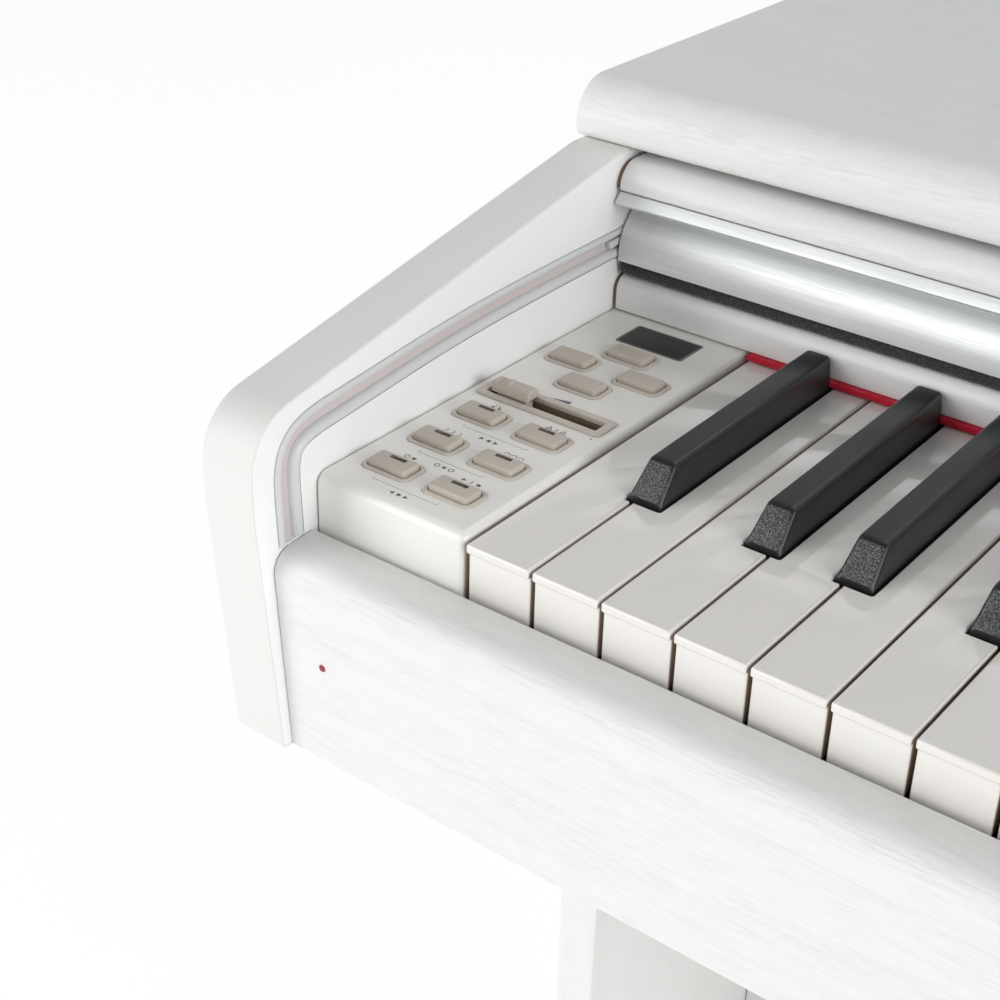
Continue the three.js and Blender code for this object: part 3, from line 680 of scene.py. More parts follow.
def polished_brass():
    look = Look("polished_brass", (0.83, 0.61, 0.26), 0.16, 1.0)
    wear = look.noise(14, 4, 0.65)
    look.gloss(wear, 0.35, 0.7, 0.1, 0.28)
    look.tint(look.levels(wear, 0.45, 0.75, 0.0, 0.35), (0.68, 0.47, 0.19))
    look.bump(look.noise((0.5, 8, 0.5), 2), 0.008, 0.4)
    return look.material


def raw_board():
    """Dark brown fibrous board, put in thin gaps and recesses as painted shade."""
    look = Look("raw_board", (0.2, 0.135, 0.09), 0.8)
    fibres = look.noise(0.8, 4, 0.7)
    look.tint(look.levels(fibres, 0.4, 0.7, 0.0, 0.5), (0.11, 0.07, 0.045))
    look.bump(fibres, 0.05, 0.7)
    return look.material


def red_lens():
    look = Look("red_lens", (0.3, 0.012, 0.012), 0.18, Coat_Weight=0.5)
    look.patches(0.7, 2, 0.4, 0.7, 0.4, (0.16, 0.006, 0.006))
    return look.material


FOIL = wood_foil("wood_foil", "X")
UPRIGHT_FOIL = wood_foil("upright_foil", "Z")
FOOT_FOIL = wood_foil("foot_foil", "Y")
LAMINATE = smooth_laminate()
BAND = edge_band()
TRACK = track_plastic()
SLOT = slot_plastic()
PANEL = panel_plastic()
BUTTON = button_plastic()
SURROUND = surround_plastic()
LAMP = lamp_window()
INK = print_ink()
WHITE_KEY = white_key_plastic()
BLACK_KEY = black_key_plastic()
ALUMINIUM = brushed_aluminium()
BLACK_FELT = black_felt()
RED_FELT = red_felt()
SMOKED = smoked_window()
BORDER = window_border()
BLACK_PLASTIC = black_plastic()
CONE = paper_cone()
STEEL = zinc_steel()
BRASS = polished_brass()
RED_LENS = red_lens()
SHADE_BOARD = raw_board()


# ---- Cheeks and tracks --------------------------------------------------------------------------
CHEEK = [
    (-18.8, ARM_BOTTOM, 2.5),
    (ARM_FRONT, -3, 20),
    (ARM_FRONT, 26.7, 20),
    (157, LID_UNDER - GAP),
    (BACK, LID_UNDER - GAP),
    (BACK, ARM_BOTTOM),
]
BAND_THICK = 0.7
GROOVE_DEEP = 9.0
# The track's middle line (y, z), from the back to its turned-down front end.
TRACK_POINTS = [
    (397, 35.1), (280, 31.1), (200, 28.5), (160, 27.2), (125, 26.9), (94, 26.4),
    (74, 25.7), (56, 24.6), (39, 23.2), (25, 21.9), (12, 20.8), (2, 19.8),
    (-5.3, 17.8), (-9.7, 14), (-11.5, 8.5), (-11.8, 2), (-11.4, -8), (-11, -16.6),
]
# (across, proud) round the track: a broad rounded lower lip, the slot, and an upper lip.
TRACK_SECTION = [
    (-5.2, -8.6), (-5.2, 0.1), (-5.0, 0.42), (-4.5, 0.55), (-3.9, 0.5), (-3.2, 0.25), (-2.6, -0.2),
    (-2.2, -0.8), (-2.0, -1.5), (-1.95, -2.2), (2.4, -2.2), (2.5, -0.3), (2.65, 0.2), (3.0, 0.5),
    (3.6, 0.62), (4.5, 0.5), (5.0, 0.3), (5.2, 0.0), (5.2, -8.6),
]
SLOT_FLOOR = [(-1.94, -2.4), (-1.94, -1.8), (2.38, -1.8), (2.38, -2.4)]
# A thin dark brown strip along the track's outer edge, as painted shade in the gap beside the cheek.
TRACK_EDGE_SHADE = [(-5.58, -1.5), (-5.58, 0.08), (-5.21, 0.08), (-5.21, -1.5)]


def swept(name, section, material):
    """A section (across, proud) carried along the track's line on the left cheek's inner face."""
    line = catmull(TRACK_POINTS)
    lanes = [offset_line(line, -across) for across, _ in section]
    rings = [
        [(INNER_LEFT + proud, point.x, point.y) for point, (_, proud) in zip(stop, section)]
        for stop in zip(*lanes)
    ]
    return from_bmesh(name, tube(rings), material, 40)


def make_cheek():
    """The left cheek's board with a groove for the track, and the edge band round it."""
    outline = corners(CHEEK, 12)
    core_outline = corners(inset_profile(CHEEK, BAND_THICK), 12)
    outer = INNER_LEFT - BOARD
    core = solid("left_cheek_core", [core_outline], outer, INNER_LEFT, LAMINATE, 0.25, ALONG_X)
    band = solid("left_cheek_band", [outline, core_outline], outer, INNER_LEFT - 0.02, BAND, 0.3, ALONG_X, 3)
    line = catmull(TRACK_POINTS)
    half = TRACK_HALF + GAP
    groove = [*offset_line(line, half), *reversed(offset_line(line, -half))]
    cut(core, solid("groove", [groove], INNER_LEFT - GROOVE_DEEP, INNER_LEFT + 2, LAMINATE, 0.0, ALONG_X))
    return core, band


def cheeks_and_tracks():
    core, band = make_cheek()
    track = swept("left_track", TRACK_SECTION, TRACK)
    floor = swept("left_track_floor", SLOT_FLOOR, SLOT)
    # Painted shade: a dark brown strip in the gap along the track's edge.
    edge = swept("left_track_edge", TRACK_EDGE_SHADE, SHADE_BOARD)
    for piece in (core, band, edge):
        place_both(piece, "case", "white_board", "cheek")
    for piece in (track, floor):
        place_both(piece, "case", "track_plastic", "cover_track")


# ---- Case ---------------------------------------------------------------------------------------
SLIP = [(-1.6, ARM_BOTTOM, 0.5), (-1.6, -16.6, 0.8), (-19.9, -17.4, 7.5), (-14.9, ARM_BOTTOM, 0.8)]
STRIP_BACK = STRIP_FRONT + 18
STRIP = [(STRIP_FRONT, 2.6, 0.4), (STRIP_BACK, 2.6, 0.4), (STRIP_BACK, 15, 1), (STRIP_FRONT, 15, 5.5)]
STRIP_SHY = 1.6
LID = [(LID_FRONT, LID_UNDER, 3.5), (BACK, LID_UNDER, 1), (BACK, LID_TOP, 2), (LID_FRONT, LID_TOP, 15)]
LID_REACH = BOARD + 2
SHADE_SHY = 0.15
SHADE_DEEP = 0.3
WOOL_SEED = 11
WOOL_STEP = 1.6


def board_outline(profile, inset, steps=12):
    return corners(inset_profile(profile, inset), steps)


def case_boards():
    x0, x1 = INNER_LEFT + GAP, INNER_RIGHT - GAP
    slip = solid("key_slip_rail", [board_outline(SLIP, 0)], x0, x1, FOIL, 0.3, ALONG_X)
    place(slip, "case", "white_board", "key_slip")
    x0, x1 = INNER_LEFT - LID_REACH, INNER_RIGHT + LID_REACH
    lid = solid("lid_board", [corners(LID, 14)], x0, x1, FOIL, 0.8, ALONG_X, 3)
    place(lid, "case", "white_board", "lid")
    x0, x1 = INNER_LEFT + STRIP_SHY, INNER_RIGHT - STRIP_SHY
    strip = solid("name_strip_rail", [board_outline(STRIP, 0)], x0, x1, FOIL, 0.5, ALONG_X, 3)
    place(strip, "case", "white_board", "name_strip")
    # Painted shade: dark brown sheets at the ends of the name strip and the key slip, in the gaps beside the
    # cheeks.
    shade_ends("name_strip", board_outline(STRIP, 0.7), STRIP_SHY, "case")
    shade_ends("key_slip", board_outline(SLIP, 0.8), GAP + 0.1, "case")
    for node, width in (("key_bed", 0.6), ("back_panel", 0.6), ("modesty_board", 1.0)):
        place(softened(node, node + "_board", FOIL, width), "case", "white_board", node)


def shade_ends(name, outline, reach, body):
    """A dark brown sheet behind the thin gap at each end of a long board, as painted shade in the gap."""
    deep = reach + SHADE_DEEP
    for side, x0, x1 in (
        ("left", INNER_LEFT + SHADE_SHY, INNER_LEFT + deep),
        ("right", INNER_RIGHT - deep, INNER_RIGHT - SHADE_SHY),
    ):
        piece = solid(f"{name}_raw_end_{side}", [outline], x0, x1, SHADE_BOARD, 0.1, ALONG_X)
        place(piece, body, "white_board")


def red_felt_strip():
    """The red felt under the name strip."""
    box = (STRIP_FRONT - 2.4, STRIP_FRONT + 11, 0.4, 2.35)
    felt = woolly("red_felt_strip", (0.5, KEYS_LONG - 0.5), box, 0.16, RED_FELT)
    place(felt, "case", "red_felt", "red_felt")


def woolly(name, span, box, ragged, material):
    """A felt strip along x, whose section wanders a little from step to step."""
    (x0, x1), (y0, y1, z0, z1) = span, box
    random.seed(WOOL_SEED)
    section = rectangle(y0, y1, z0, z1, min(z1 - z0, y1 - y0) * 0.3, 3)
    size = len(section)
    count = int((x1 - x0) / WOOL_STEP)
    bm = bmesh.new()
    rings = []
    for i in range(count + 1):
        x = x0 + (x1 - x0) * i / count
        rings.append([
            bm.verts.new((x, y + random.uniform(-ragged, ragged), z + random.uniform(-ragged, ragged) * 0.6))
            for y, z in section
        ])
    for first, second in zip(rings, rings[1:]):
        for j in range(size):
            bm.faces.new((first[j], second[j], second[(j + 1) % size], first[(j + 1) % size]))
    bm.faces.new(rings[0])
    bm.faces.new(reversed(rings[-1]))
    bmesh.ops.recalc_face_normals(bm, faces=bm.faces)
    return from_bmesh(name, bm, material, 60)


# ---- Key cover ----------------------------------------------------------------------------------
COVER_LEFT = INNER_LEFT + 1.2
COVER_RIGHT = INNER_RIGHT - 1.2
COVER_BACK = 385.0
NOSE_SHY = 0.6
NOSE = [(155.8, 48, 0.8), (COVER_BACK, 48, 0.5), (COVER_BACK, 57.8, 0.5), (155.8, 57.8, 8.5)]
TRIM_LOW = 20.9
TRIM_BACK = 175.0
TRIM_LIP = [
    (TRIM_BACK, 47.3, 0.3), (157, 47.3, 0.4), (154.2, 43.8, 0.5), (155.4, 42.7, 0.4), (165.2, 41.5, 0.6),
]
TRIM_HOLLOW = [
    (166.6, 40.2), (165.4, 38), (163, 35.4), (160.9, 32.9),
    (159.4, 30.1), (158.6, 27), (158.3, 23.7), (158.2, TRIM_LOW),
]
COVER_FELT = (159, 168, 15.7, 20.6)
PIN_AT = ((180, 28.3), (377, 35.0))
PIN_RADIUS = 1.2
SHOE_HALF = 1.35
SLIDE_SLOPE = 0.034


def key_cover():
    """The cover's nose, its aluminium fascia with a finger lip, the felt below it, and the runners."""
    x0, x1 = COVER_LEFT + NOSE_SHY, COVER_RIGHT - NOSE_SHY
    board = solid("key_cover_nose", [corners(NOSE, 14)], x0, x1, FOIL, 0.4, ALONG_X)
    place(board, "key_cover", "white_board", "key_cover_board")
    # Painted shade: dark brown sheets at the nose's ends, in the gaps beside the cheeks.
    shade_ends("key_cover", board_outline(NOSE, 0.8, 14), x0 - INNER_LEFT, "key_cover")
    section = [*corners(TRIM_LIP, 4), *catmull(TRIM_HOLLOW), Vector((TRIM_BACK, TRIM_LOW))]
    trim = solid("key_cover_fascia", [section], COVER_LEFT, COVER_RIGHT, ALUMINIUM, 0.15, ALONG_X)
    place(trim, "key_cover", "brushed_aluminium", "key_cover_trim")
    felt = woolly("key_cover_felt_strip", (COVER_LEFT + 1, COVER_RIGHT - 1), COVER_FELT, 0.14, BLACK_FELT)
    place(felt, "key_cover", "black_felt", "key_cover_felt")
    place_both(cover_runner(), "key_cover", "steel", "cover_runner")
    place_both(guide_shoe(), "key_cover", "track_plastic", "cover_runner")


def cover_runner():
    """A steel plate on the cover's end, with two pins that ride in the track."""
    x0, x1 = INNER_LEFT + 0.85, INNER_LEFT + 2.65
    back = COVER_BACK - 3
    plate = corners([(166, 20.5, 2), (back, 30.5, 2), (back, 47.5, 1), (168, 47.5, 1)], 5)
    pieces = [solid("plate", [plate], x0, x1, STEEL, 0.1, ALONG_X)]
    for y, z in PIN_AT:
        pin = [circle(y, z, PIN_RADIUS, 20)]
        pieces.append(solid("pin", pin, INNER_LEFT - 1.6, x0 + 0.1, STEEL, 0.2, ALONG_X))
    return joined("left_cover_runner_plate", pieces)


def guide_shoe():
    """The pale plastic shoe round the front pin, which shows in the slot beside the fascia."""
    y, z = PIN_AT[0]
    level = rectangle(y - 26, y + 4, z - SHOE_HALF, z + SHOE_HALF, 0.9)
    shape = [Vector((p.x, p.y + SLIDE_SLOPE * (p.x - y))) for p in level]
    return solid("left_guide_shoe", [shape], INNER_LEFT - 1.5, INNER_LEFT + 0.4, TRACK, 0.3, ALONG_X, 3)


# ---- End blocks and controls --------------------------------------------------------------------
BLOCK_FLOOR = ARM_BOTTOM + 15.4
BLOCK_FRONT = 0.6
BLOCK_BACK = STRIP_FRONT + 14
BLOCK_SPACE = 0.9  # between an end block and the nearest key
BLOCK_CUT = 0.7  # how far off the cheek its edge is squared
# How deep the panel is cut out below each kind of control.
BUTTON_HOLE = 5.8
SLIDER_HOLE = 6.0
WINDOW_HOLE = 1.4
POWER_HOLE = 7.0
PLATE = (-55, -3, 6, 134)
CROWN = 0.15
POWER_AT = (KEYS_LONG + 29, 40)
POWER_RADIUS = 6.0
INDICATOR_AT = (-40.8, -52.7)
INDICATOR_RADIUS = 1.25


def block_shell(name, x0, x1, holes, slab):
    """The moulded end block, broadly rounded towards the keys and squared off beside the cheek."""
    profile = corners([
        (BLOCK_FRONT, BLOCK_FLOOR), (BLOCK_BACK, BLOCK_FLOOR),
        (BLOCK_BACK, PANEL_TOP), (BLOCK_FRONT, PANEL_TOP, 4),
    ], 12)
    block = solid(name, [profile], x0, x1, PANEL, 2.2, ALONG_X, 6)
    beyond = rectangle(-10, BLOCK_BACK + 16, BLOCK_FLOOR - 5, 12)
    cut(block, solid("slab", [beyond], *slab, PANEL, 0.0, ALONG_X))
    for loop, deep in holes:
        cut(block, solid("hole", [loop], PANEL_TOP - deep, 8, PANEL, 0.0))
    return block


def surrounds():
    """The beige rings round the buttons, the slider's frame, and, as painted shade in the recesses, a dark
    brown well under the slider's frame and the dark plate under them all.
    """
    pieces = []
    for at in BUTTONS.values():
        ring = [centred(at, RIM, -0.12), centred(at, CAP, 0.3)]
        pieces.append(solid("ring", ring, PANEL_TOP - 4, PANEL_TOP + 0.6, SURROUND, 0.5, ALONG_Z, 4))
    x0, x1, y0, y1 = SLIDER
    middle = (y0 + y1) / 2
    outer = inside(SLIDER, 0.15, 1.0)
    slot = [outer, rectangle(x0 + 3, x1 - 3, middle - 3.2, middle + 3.2, 0.3)]
    pieces.append(solid("slot", slot, PANEL_TOP - 1.2, PANEL_TOP + 0.9, SURROUND, 0.45, ALONG_Z, 4))
    # Painted shade: a dark brown well inside the slider's hole.
    well = [outer, rectangle(x0 + 2.8, x1 - 2.8, middle - 3.4, middle + 3.4, 0.3)]
    pieces.append(solid("well", well, PANEL_TOP - 4.2, PANEL_TOP - 1.3, SHADE_BOARD, 0.1))
    # Painted shade: a dark brown plate at the bottom of the holes under the buttons and the slider.
    plate = rectangle(*PLATE, 1)
    pieces.append(solid("plate", [plate], PANEL_TOP - 5.6, PANEL_TOP - 4.3, SHADE_BOARD, 0.2))
    place(joined("control_surrounds", pieces), "case", "button_plastic", "button_frame")


def button(name, at):
    """A cap with soft edges and a slightly crowned top; the lamp buttons hold a small window."""
    cap = solid(name + "_cap", [centred(at, CAP)], -1.0, CAP_TOP, BUTTON, 0.85, ALONG_Z, 5)
    x, y = at
    half_wide = CAP[0] / 2 * MM
    centre = CONSOLE + Vector((x, y, 0)) * MM
    for vertex in cap.data.vertices:
        if vertex.co.z > centre.z + CAP_TOP / 2 * MM:
            across = (vertex.co.x - centre.x) / half_wide
            vertex.co.z -= CROWN * MM * across * across
    place(cap, name, "button_plastic", name)
    if name in LAMP_BUTTONS:
        glass = rectangle(x - 2.4, x + 3.6, y + 1.0, y + 2.4, 0.2, 3)
        window = solid(name + "_lamp", [glass], CAP_TOP - 0.6, CAP_TOP + 0.05, LAMP, 0.05)
        place(window, name, "button_plastic")


def volume_knob():
    """A low block with a hollow across its top and a grip ridge in the hollow."""
    x0, x1 = KNOB
    middle = (SLIDER[2] + SLIDER[3]) / 2
    foot = PANEL_TOP + 1.1
    grip = corners([
        (middle - 3, foot, 0.3), (middle + 3, foot, 0.3),
        (middle + 2.5, KNOB_TOP, 1.1), (middle - 2.5, KNOB_TOP, 1.1),
    ], 6)
    body = solid("grip", [grip], x0, x1, BUTTON, 0.7, ALONG_X, 4)
    scoop = []
    for t in (0, 0.2, 0.4, 0.6, 0.8, 1):
        scoop.append(Vector((x0 + 1.5 + 2.4 * t, KNOB_TOP + 1 - 1.7 * math.sin(math.pi * t))))
    cut(body, solid("scoop", [scoop], middle - 6, middle + 6, BUTTON, 0.0, ALONG_Y))
    crest_top = KNOB_TOP + 0.35
    ridge = corners([
        (x0 + 5, foot + 2), (x0 + 7, foot + 2), (x0 + 6.6, crest_top, 0.5), (x0 + 5.4, crest_top, 0.5),
    ], 4)
    crest = solid("crest", [ridge], middle - 2.2, middle + 2.2, BUTTON, 0.3, ALONG_Y, 3)
    post = rectangle(x0 + 1.5, x1 - 1.5, middle - 1.9, middle + 1.9, 0.5)
    stem = solid("stem", [post], -3.5, foot + 0.5, BUTTON, 0.2)
    place(joined("volume_slider_knob", [body, crest, stem]), "volume_knob", "button_plastic", "volume_knob")


def display():
    border = solid("display_border", [inside(WINDOW, 0.15, 1.2)], 0.4, PANEL_TOP + 0.08, BORDER, 0.12)
    glass = solid("display_glass", [inside(WINDOW, 1, 0.5)], 0.6, PANEL_TOP + 0.16, SMOKED, 0.08)
    for piece in (border, glass):
        place(piece, "case", "display_window", "display_window")


def controls():
    holes = [(centred(at, RIM), BUTTON_HOLE) for at in BUTTONS.values()]
    holes.append((inside(SLIDER, 0, 1.8), SLIDER_HOLE))
    holes.append((inside(WINDOW, 0, 1.3), WINDOW_HOLE))
    slab = (INNER_LEFT - 9, INNER_LEFT + BLOCK_CUT)
    panel = block_shell("control_panel_shell", INNER_LEFT - 3, -BLOCK_SPACE, holes, slab)
    place(panel, "case", "panel_plastic", "control_panel")
    surrounds()
    for name, at in BUTTONS.items():
        button(name, at)
    volume_knob()
    display()
    printed_marks()


def right_end():
    holes = [(circle(*POWER_AT, POWER_RADIUS + 0.5, 40), POWER_HOLE)]
    slab = (INNER_RIGHT - BLOCK_CUT, INNER_RIGHT + 9)
    block = block_shell("right_end_shell", KEYS_LONG + BLOCK_SPACE, INNER_RIGHT + 3, holes, slab)
    place(block, "case", "panel_plastic", "right_end_block")
    disc = [circle(*POWER_AT, POWER_RADIUS, 40)]
    cap = solid("power_button_cap", disc, -2, 3.3, BUTTON, 0.9, ALONG_Z, 4)
    place(cap, "power_button", "button_plastic", "power_button")


def indicator_lamp():
    disc = [circle(*INDICATOR_AT, INDICATOR_RADIUS, 24)]
    lens = solid("indicator_lens", disc, -17.9, -12, RED_LENS, 0.35, ALONG_Y, 4)
    place(lens, "case", "red_lens", "power_led")


# ---- Printed signs ------------------------------------------------------------------------------
SIGNS = {
    "button_record": "o.",
    "button_play": ">|.",
    "button_reverb": ")))",
    "button_chorus": "~~~",
    "button_voice": "db",
    "button_metronome": "A|A",
}
SIGN_PITCH = 2.7
SIGN_SIZE = 1.35
SIGN_BEHIND = 8.0
BRACKETS = ((61.5, ">.>"), (39.4, "o.o"), (18.1, "<.>"))  # a row of buttons, and the signs below it
BRACKET_FROM, BRACKET_TO = -42.8, -17.8
BRACKET_BELOW = 8.9
BRACKET_SIGNS_BELOW = 11.6


def stroke(xa, ya, xb, yb, width=0.24):
    """The outline of a straight printed line."""
    side = Vector((ya - yb, xb - xa)).normalized() * width / 2
    a, b = Vector((xa, ya)), Vector((xb, yb))
    return [a - side, b - side, b + side, a + side]


def outline(*points):
    return [Vector(point) for point in points]


# Each sign is a list of shapes, and each shape a list of loops.
SIGN_SHAPES = {
    "o": [[circle(0, 0, 0.75, 14), circle(0, 0, 0.5, 14)]],
    ".": [[rectangle(-0.5, 0.5, -0.5, 0.5)]],
    ">": [[outline((-0.6, -0.7), (0.6, 0), (-0.6, 0.7))]],
    "<": [[outline((0.6, -0.7), (-0.6, 0), (0.6, 0.7))]],
    "|": [[stroke(0, -0.7, 0, 0.7, 0.28)]],
    "A": [[stroke(-0.7, -0.7, 0, 0.8)], [stroke(0, 0.8, 0.7, -0.7)], [stroke(-0.6, -0.6, 0.6, -0.6)]],
    "d": [[circle(0, -0.4, 0.45, 14)], [stroke(0.45, -0.4, 0.45, 0.85)]],
    "b": [[circle(0, -0.4, 0.45, 14)], [stroke(-0.45, -0.4, -0.45, 0.85)]],
    ")": [[stroke(-0.4, -0.7, 0.2, 0)], [stroke(0.2, 0, -0.4, 0.7)]],
    "~": [[stroke(-0.9, -0.3, 0, 0.4)], [stroke(0, 0.4, 0.9, -0.3)]],
}


def row_of_signs(signs, x, y):
    shapes = []
    for i, kind in enumerate(signs):
        at = Vector((x + (i - (len(signs) - 1) / 2) * SIGN_PITCH, y))
        for shape in SIGN_SHAPES[kind]:
            shapes.append([[at + point * SIGN_SIZE for point in loop] for loop in shape])
    return shapes


def bracket(y):
    """A thin line below a pair of buttons, turned up at both ends."""
    shapes = [[stroke(BRACKET_FROM, y, BRACKET_TO, y, 0.16)]]
    for x in (BRACKET_FROM, BRACKET_TO):
        shapes.append([stroke(x, y, x, y + 1.1, 0.16)])
    return shapes


def printed_marks():
    """Generic signs behind the lamp buttons, a bracket with signs below each pair, the volume's wedge."""
    shapes = []
    for name, signs in SIGNS.items():
        x, y = BUTTONS[name]
        shapes += row_of_signs(signs, x, y + SIGN_BEHIND)
    for row, signs in BRACKETS:
        shapes += bracket(row - BRACKET_BELOW)
        shapes += row_of_signs(signs, -30.2, row - BRACKET_SIGNS_BELOW)
    shapes.append([outline((-33.2, 86.4), (-25.6, 86.4), (-25.6, 88.3))])
    shapes.append([circle(-6.4, 71.6, 0.4, 14)])
    shapes.append([circle(-54, 72, 0.25, 14)])
    marks = [solid("mark", loops, PANEL_TOP - 0.05, PANEL_TOP + 0.02, INK, 0.0) for loops in shapes]
    place(joined("printed_marks", marks), "case", "panel_plastic")


# ---- Keys ---------------------------------------------------------------------------------------
HEAD = 50.5
KEY_REAR = 170.0
KEY_SPACE = 0.5
CAP_DEEP = 3.2
SKIRT_BOTTOM = -20.0
BLACK_FRONT = 52.0
BLACK_BACK = 156.5
BLACK_WIDE = 11.4
BLACK_TOP_WIDE = 9.2
BLACK_HIGH = 11.5
BLACK_NOSE = 8.8
BLACK_WAIST = 1.2
BLACK_LOW = -16.0
BLACK_CLEAR = BLACK_WIDE / 2 + 0.8
OCTAVE = [0, None, 1, None, 2, 3, None, 4, None, 5, None, 6]
BLACK_SHIFT = {1: -2.9, 3: 2.9, 6: -3.9, 8: 0.0, 10: 3.5}
FIRST_NOTE = 9
SINGLE_KEYS = ["key_a0", "key_a_sharp0", "key_b0", "key_c1", "key_c_sharp1", "key_d1"]
NOTE_NAMES = ["c", "c_sharp", "d", "d_sharp", "e", "f", "f_sharp", "g", "g_sharp", "a", "a_sharp", "b"]


def note_of(key):
    return (key + FIRST_NOTE) % 12


def is_white(key):
    return OCTAVE[note_of(key)] is not None


def is_black(key):
    return 0 <= key < KEY_COUNT and not is_white(key)


def whites_below(key):
    return sum(is_white(k) for k in range(key))


def black_middle(key):
    return whites_below(key) * KEY_PITCH + BLACK_SHIFT[note_of(key)]


def body_of(key):
    """The body a key rides on: its own at the bass end, else its octave's."""
    if key < len(SINGLE_KEYS):
        return SINGLE_KEYS[key]
    octave = min((key + FIRST_NOTE) // 12, 7)
    return f"keys_octave_{octave}"


def white_plan(key, shrink, front):
    """A white key's outline from above: a wide head, and a tail cut away beside each black key."""
    left = whites_below(key) * KEY_PITCH + KEY_SPACE
    right = left + KEY_PITCH - 2 * KEY_SPACE
    tail_left = black_middle(key - 1) + BLACK_CLEAR if is_black(key - 1) else left
    tail_right = black_middle(key + 1) - BLACK_CLEAR if is_black(key + 1) else right
    points = [(left + shrink, front, 0.7), (right - shrink, front, 0.7)]
    if tail_right < right:
        points += [(right - shrink, HEAD, 0.5), (tail_right - shrink, HEAD, 0.8)]
    points += [(tail_right - shrink, KEY_REAR), (tail_left + shrink, KEY_REAR)]
    if tail_left > left:
        points += [(tail_left + shrink, HEAD, 0.8), (left + shrink, HEAD, 0.5)]
    return corners(points, 5)


def white_key(key, name):
    """A glossy cap with soft edges, and a skirt under it that is set back a little at the front."""
    cap = solid("cap", [white_plan(key, 0, 0)], -CAP_DEEP, 0, WHITE_KEY, 0.85, ALONG_Z, 5)
    skirt = solid("skirt", [white_plan(key, 0.15, 1.3)], SKIRT_BOTTOM, 0.2 - CAP_DEEP, WHITE_KEY, 0.2)
    return joined(name, [cap, skirt])


def black_level(middle, wide, front, front_height, back_height):
    """The four corners of a black key at one level."""
    x0, x1 = middle - wide / 2, middle + wide / 2
    return [
        (x0, front, front_height), (x1, front, front_height),
        (x1, BLACK_BACK, back_height), (x0, BLACK_BACK, back_height),
    ]


def stays_sharp(edge):
    """Whether a black key's edge is one of its foot's or goes round its waist."""
    heights = [vertex.co.z for vertex in edge.verts]
    return min(heights) < 0 or max(heights) < BLACK_HIGH / 2


def black_key(key, name):
    """A tapered cap with a sloping front and broad soft edges."""
    middle = black_middle(key)
    bm = tube([
        black_level(middle, BLACK_WIDE, BLACK_FRONT, BLACK_LOW, BLACK_LOW),
        black_level(middle, BLACK_WIDE, BLACK_FRONT, BLACK_WAIST, BLACK_WAIST),
        black_level(middle, BLACK_TOP_WIDE, BLACK_FRONT + BLACK_NOSE, BLACK_HIGH - 0.5, BLACK_HIGH),
    ])
    soft = [edge for edge in bm.edges if not stays_sharp(edge)]
    bmesh.ops.bevel(
        bm, geom=soft, offset=1.7, segments=5, profile=0.55, affect="EDGES",
        clamp_overlap=True, offset_type="OFFSET",
    )
    return from_bmesh(name, bm, BLACK_KEY, 30)


def keyboard():
    for key in range(KEY_COUNT):
        octave = (key + FIRST_NOTE) // 12
        name = f"{NOTE_NAMES[note_of(key)]}{octave}_key"
        body = body_of(key)
        if is_white(key):
            place(white_key(key, name), body, "white_key", body)
        else:
            place(black_key(key, name), body, "black_key", body)


# ---- Stand, rest and inner parts ----------------------------------------------------------------
STAND_PANELS = {
    "left_leg": (UPRIGHT_FOIL, 0.9),
    "right_leg": (UPRIGHT_FOIL, 0.9),
    "left_foot": (FOOT_FOIL, 1.2),
    "right_foot": (FOOT_FOIL, 1.2),
    "pedal_box": (FOIL, 1.0),
}


def stand():
    for node, (material, width) in STAND_PANELS.items():
        place(softened(node, node + "_panel", material, width), "case", "white_board", node)
    for node in ("pedal_soft", "pedal_sostenuto", "pedal_sustain"):
        place(softened(node, node + "_lever", BRASS, 1.6, 4), node, "pedal_brass", node)


def rest_and_inner():
    place(softened("music_rest", "music_rest_board", FOIL, 0.9), "music_rest", "white_board", "music_rest")
    place(softened("rest_hinge_rail", "rest_hinge", STEEL, 0.25, 2), "case", "steel", "rest_hinge_rail")
    place(softened("key_frame", "key_chassis", STEEL, 0.6), "case", "steel", "key_frame")
    sockets = softened("socket_panel", "socket_plate", BLACK_PLASTIC, 0.4)
    place(sockets, "case", "black_plastic", "socket_panel")
    for side in ("left", "right"):
        node = side + "_speaker"
        place(softened(node, node + "_driver", CONE, 0.6), "case", "speaker_black", node)


# ---- Stage, in metres and degrees ---------------------------------------------------------------
VIEW = {"azimuth": 36.99, "elevation": 30.46, "roll": 1.44, "lens": 64.12}
VIEW_FROM = (267.8, -339.1, 268.8)  # console millimetres
LIT_POINT = Vector((-0.35, 0, 0.75))
LAMP_AWAY = 4
LAMP_WIDTH = 2.4
# Each softbox's name, azimuth, elevation, power in watts and height.
LAMPS = (("left", -40, 20, 72, 3.0), ("right", 80, 15, 84, 1.8), ("behind", 180, 60, 27, 1.8))
SKY_HORIZON, SKY_ZENITH = 0.85, 0.08
FLOOR_BASE, FLOOR_PATCH, FLOOR_GLOW = 0.18, 0.165, 0.86
FLOOR_HALF = 40


def direction(azimuth, elevation):
    """The way out to a place seen from the object; azimuth 0 is its front."""
    flat = math.cos(elevation)
    return Vector((flat * math.sin(azimuth), -flat * math.cos(azimuth), math.sin(elevation)))


def camera():
    azimuth, elevation, roll = (math.radians(VIEW[key]) for key in ("azimuth", "elevation", "roll"))
    back = direction(azimuth, elevation)
    level = Vector((math.cos(azimuth), math.sin(azimuth), 0))
    up = back.cross(level)
    right = level * math.cos(roll) + up * math.sin(roll)
    above = up * math.cos(roll) - level * math.sin(roll)
    data = bpy.data.cameras.new("view")
    data.lens = VIEW["lens"]
    data.sensor_width = 36
    data.clip_start = 0.02
    view = bpy.data.objects.new("view", data)
    bpy.context.collection.objects.link(view)
    turn = Matrix((right, above, back)).transposed().to_4x4()
    view.matrix_world = Matrix.Translation(CONSOLE + Vector(VIEW_FROM) * MM) @ turn
    bpy.context.scene.camera = view


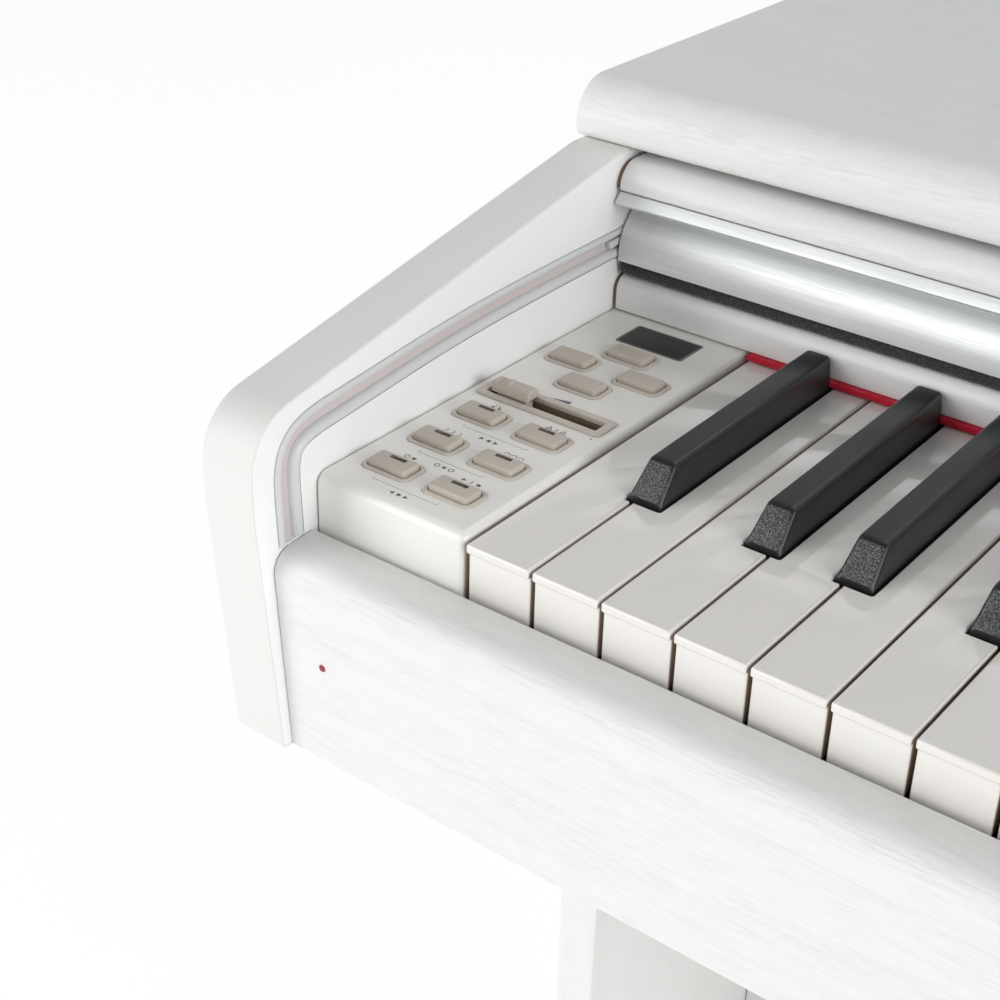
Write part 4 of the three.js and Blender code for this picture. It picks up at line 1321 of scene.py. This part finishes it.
def softbox(name, at, height, power):
    data = bpy.data.lights.new(name, "AREA")
    data.shape = "RECTANGLE"
    data.size = LAMP_WIDTH
    data.size_y = height
    data.energy = power
    light = bpy.data.objects.new(name, data)
    bpy.context.collection.objects.link(light)
    light.location = at
    light.rotation_euler = (LIT_POINT - at).to_track_quat("-Z", "Y").to_euler()


def sky():
    """An even dome of light, brightest near the horizon, as a white studio is."""
    world = bpy.data.worlds.new("studio")
    world.use_nodes = True
    nodes, links = world.node_tree.nodes, world.node_tree.links
    height = nodes.new("ShaderNodeSeparateXYZ")
    fade = nodes.new("ShaderNodeMapRange")
    links.new(nodes.new("ShaderNodeTexCoord").outputs["Generated"], height.inputs["Vector"])
    links.new(height.outputs["Z"], fade.inputs["Value"])
    fade.inputs["To Min"].default_value = SKY_HORIZON
    fade.inputs["To Max"].default_value = SKY_ZENITH
    links.new(fade.outputs["Result"], nodes["Background"].inputs["Strength"])
    nodes["Background"].inputs["Color"].default_value = (1, 1, 1, 1)
    bpy.context.scene.world = world


def pale_floor():
    look = Look("floor", (FLOOR_BASE,) * 3, 0.85)
    look.patches(400, 2, 0.4, 0.6, 0.2, (FLOOR_PATCH,) * 3)
    look.shader.inputs["Emission Color"].default_value = (1, 1, 1, 1)
    look.shader.inputs["Emission Strength"].default_value = FLOOR_GLOW
    bm = bmesh.new()
    bmesh.ops.create_grid(bm, x_segments=2, y_segments=2, size=FLOOR_HALF)
    mesh = bpy.data.meshes.new("floor")
    bm.to_mesh(mesh)
    bm.free()
    mesh.materials.append(look.material)
    floor = bpy.data.objects.new("floor", mesh)
    bpy.context.collection.objects.link(floor)


def studio():
    """Two low softboxes, a weak one high behind, and the bright floor and horizon of a white studio."""
    sky()
    for name, azimuth, elevation, power, height in LAMPS:
        way = direction(math.radians(azimuth), math.radians(elevation))
        softbox(name, LIT_POINT + LAMP_AWAY * way, height, power)
    bpy.context.scene.view_settings.view_transform = "Standard"
    pale_floor()


camera()
studio()
cheeks_and_tracks()
case_boards()
red_felt_strip()
key_cover()
controls()
right_end()
indicator_lamp()
keyboard()
stand()
rest_and_inner()
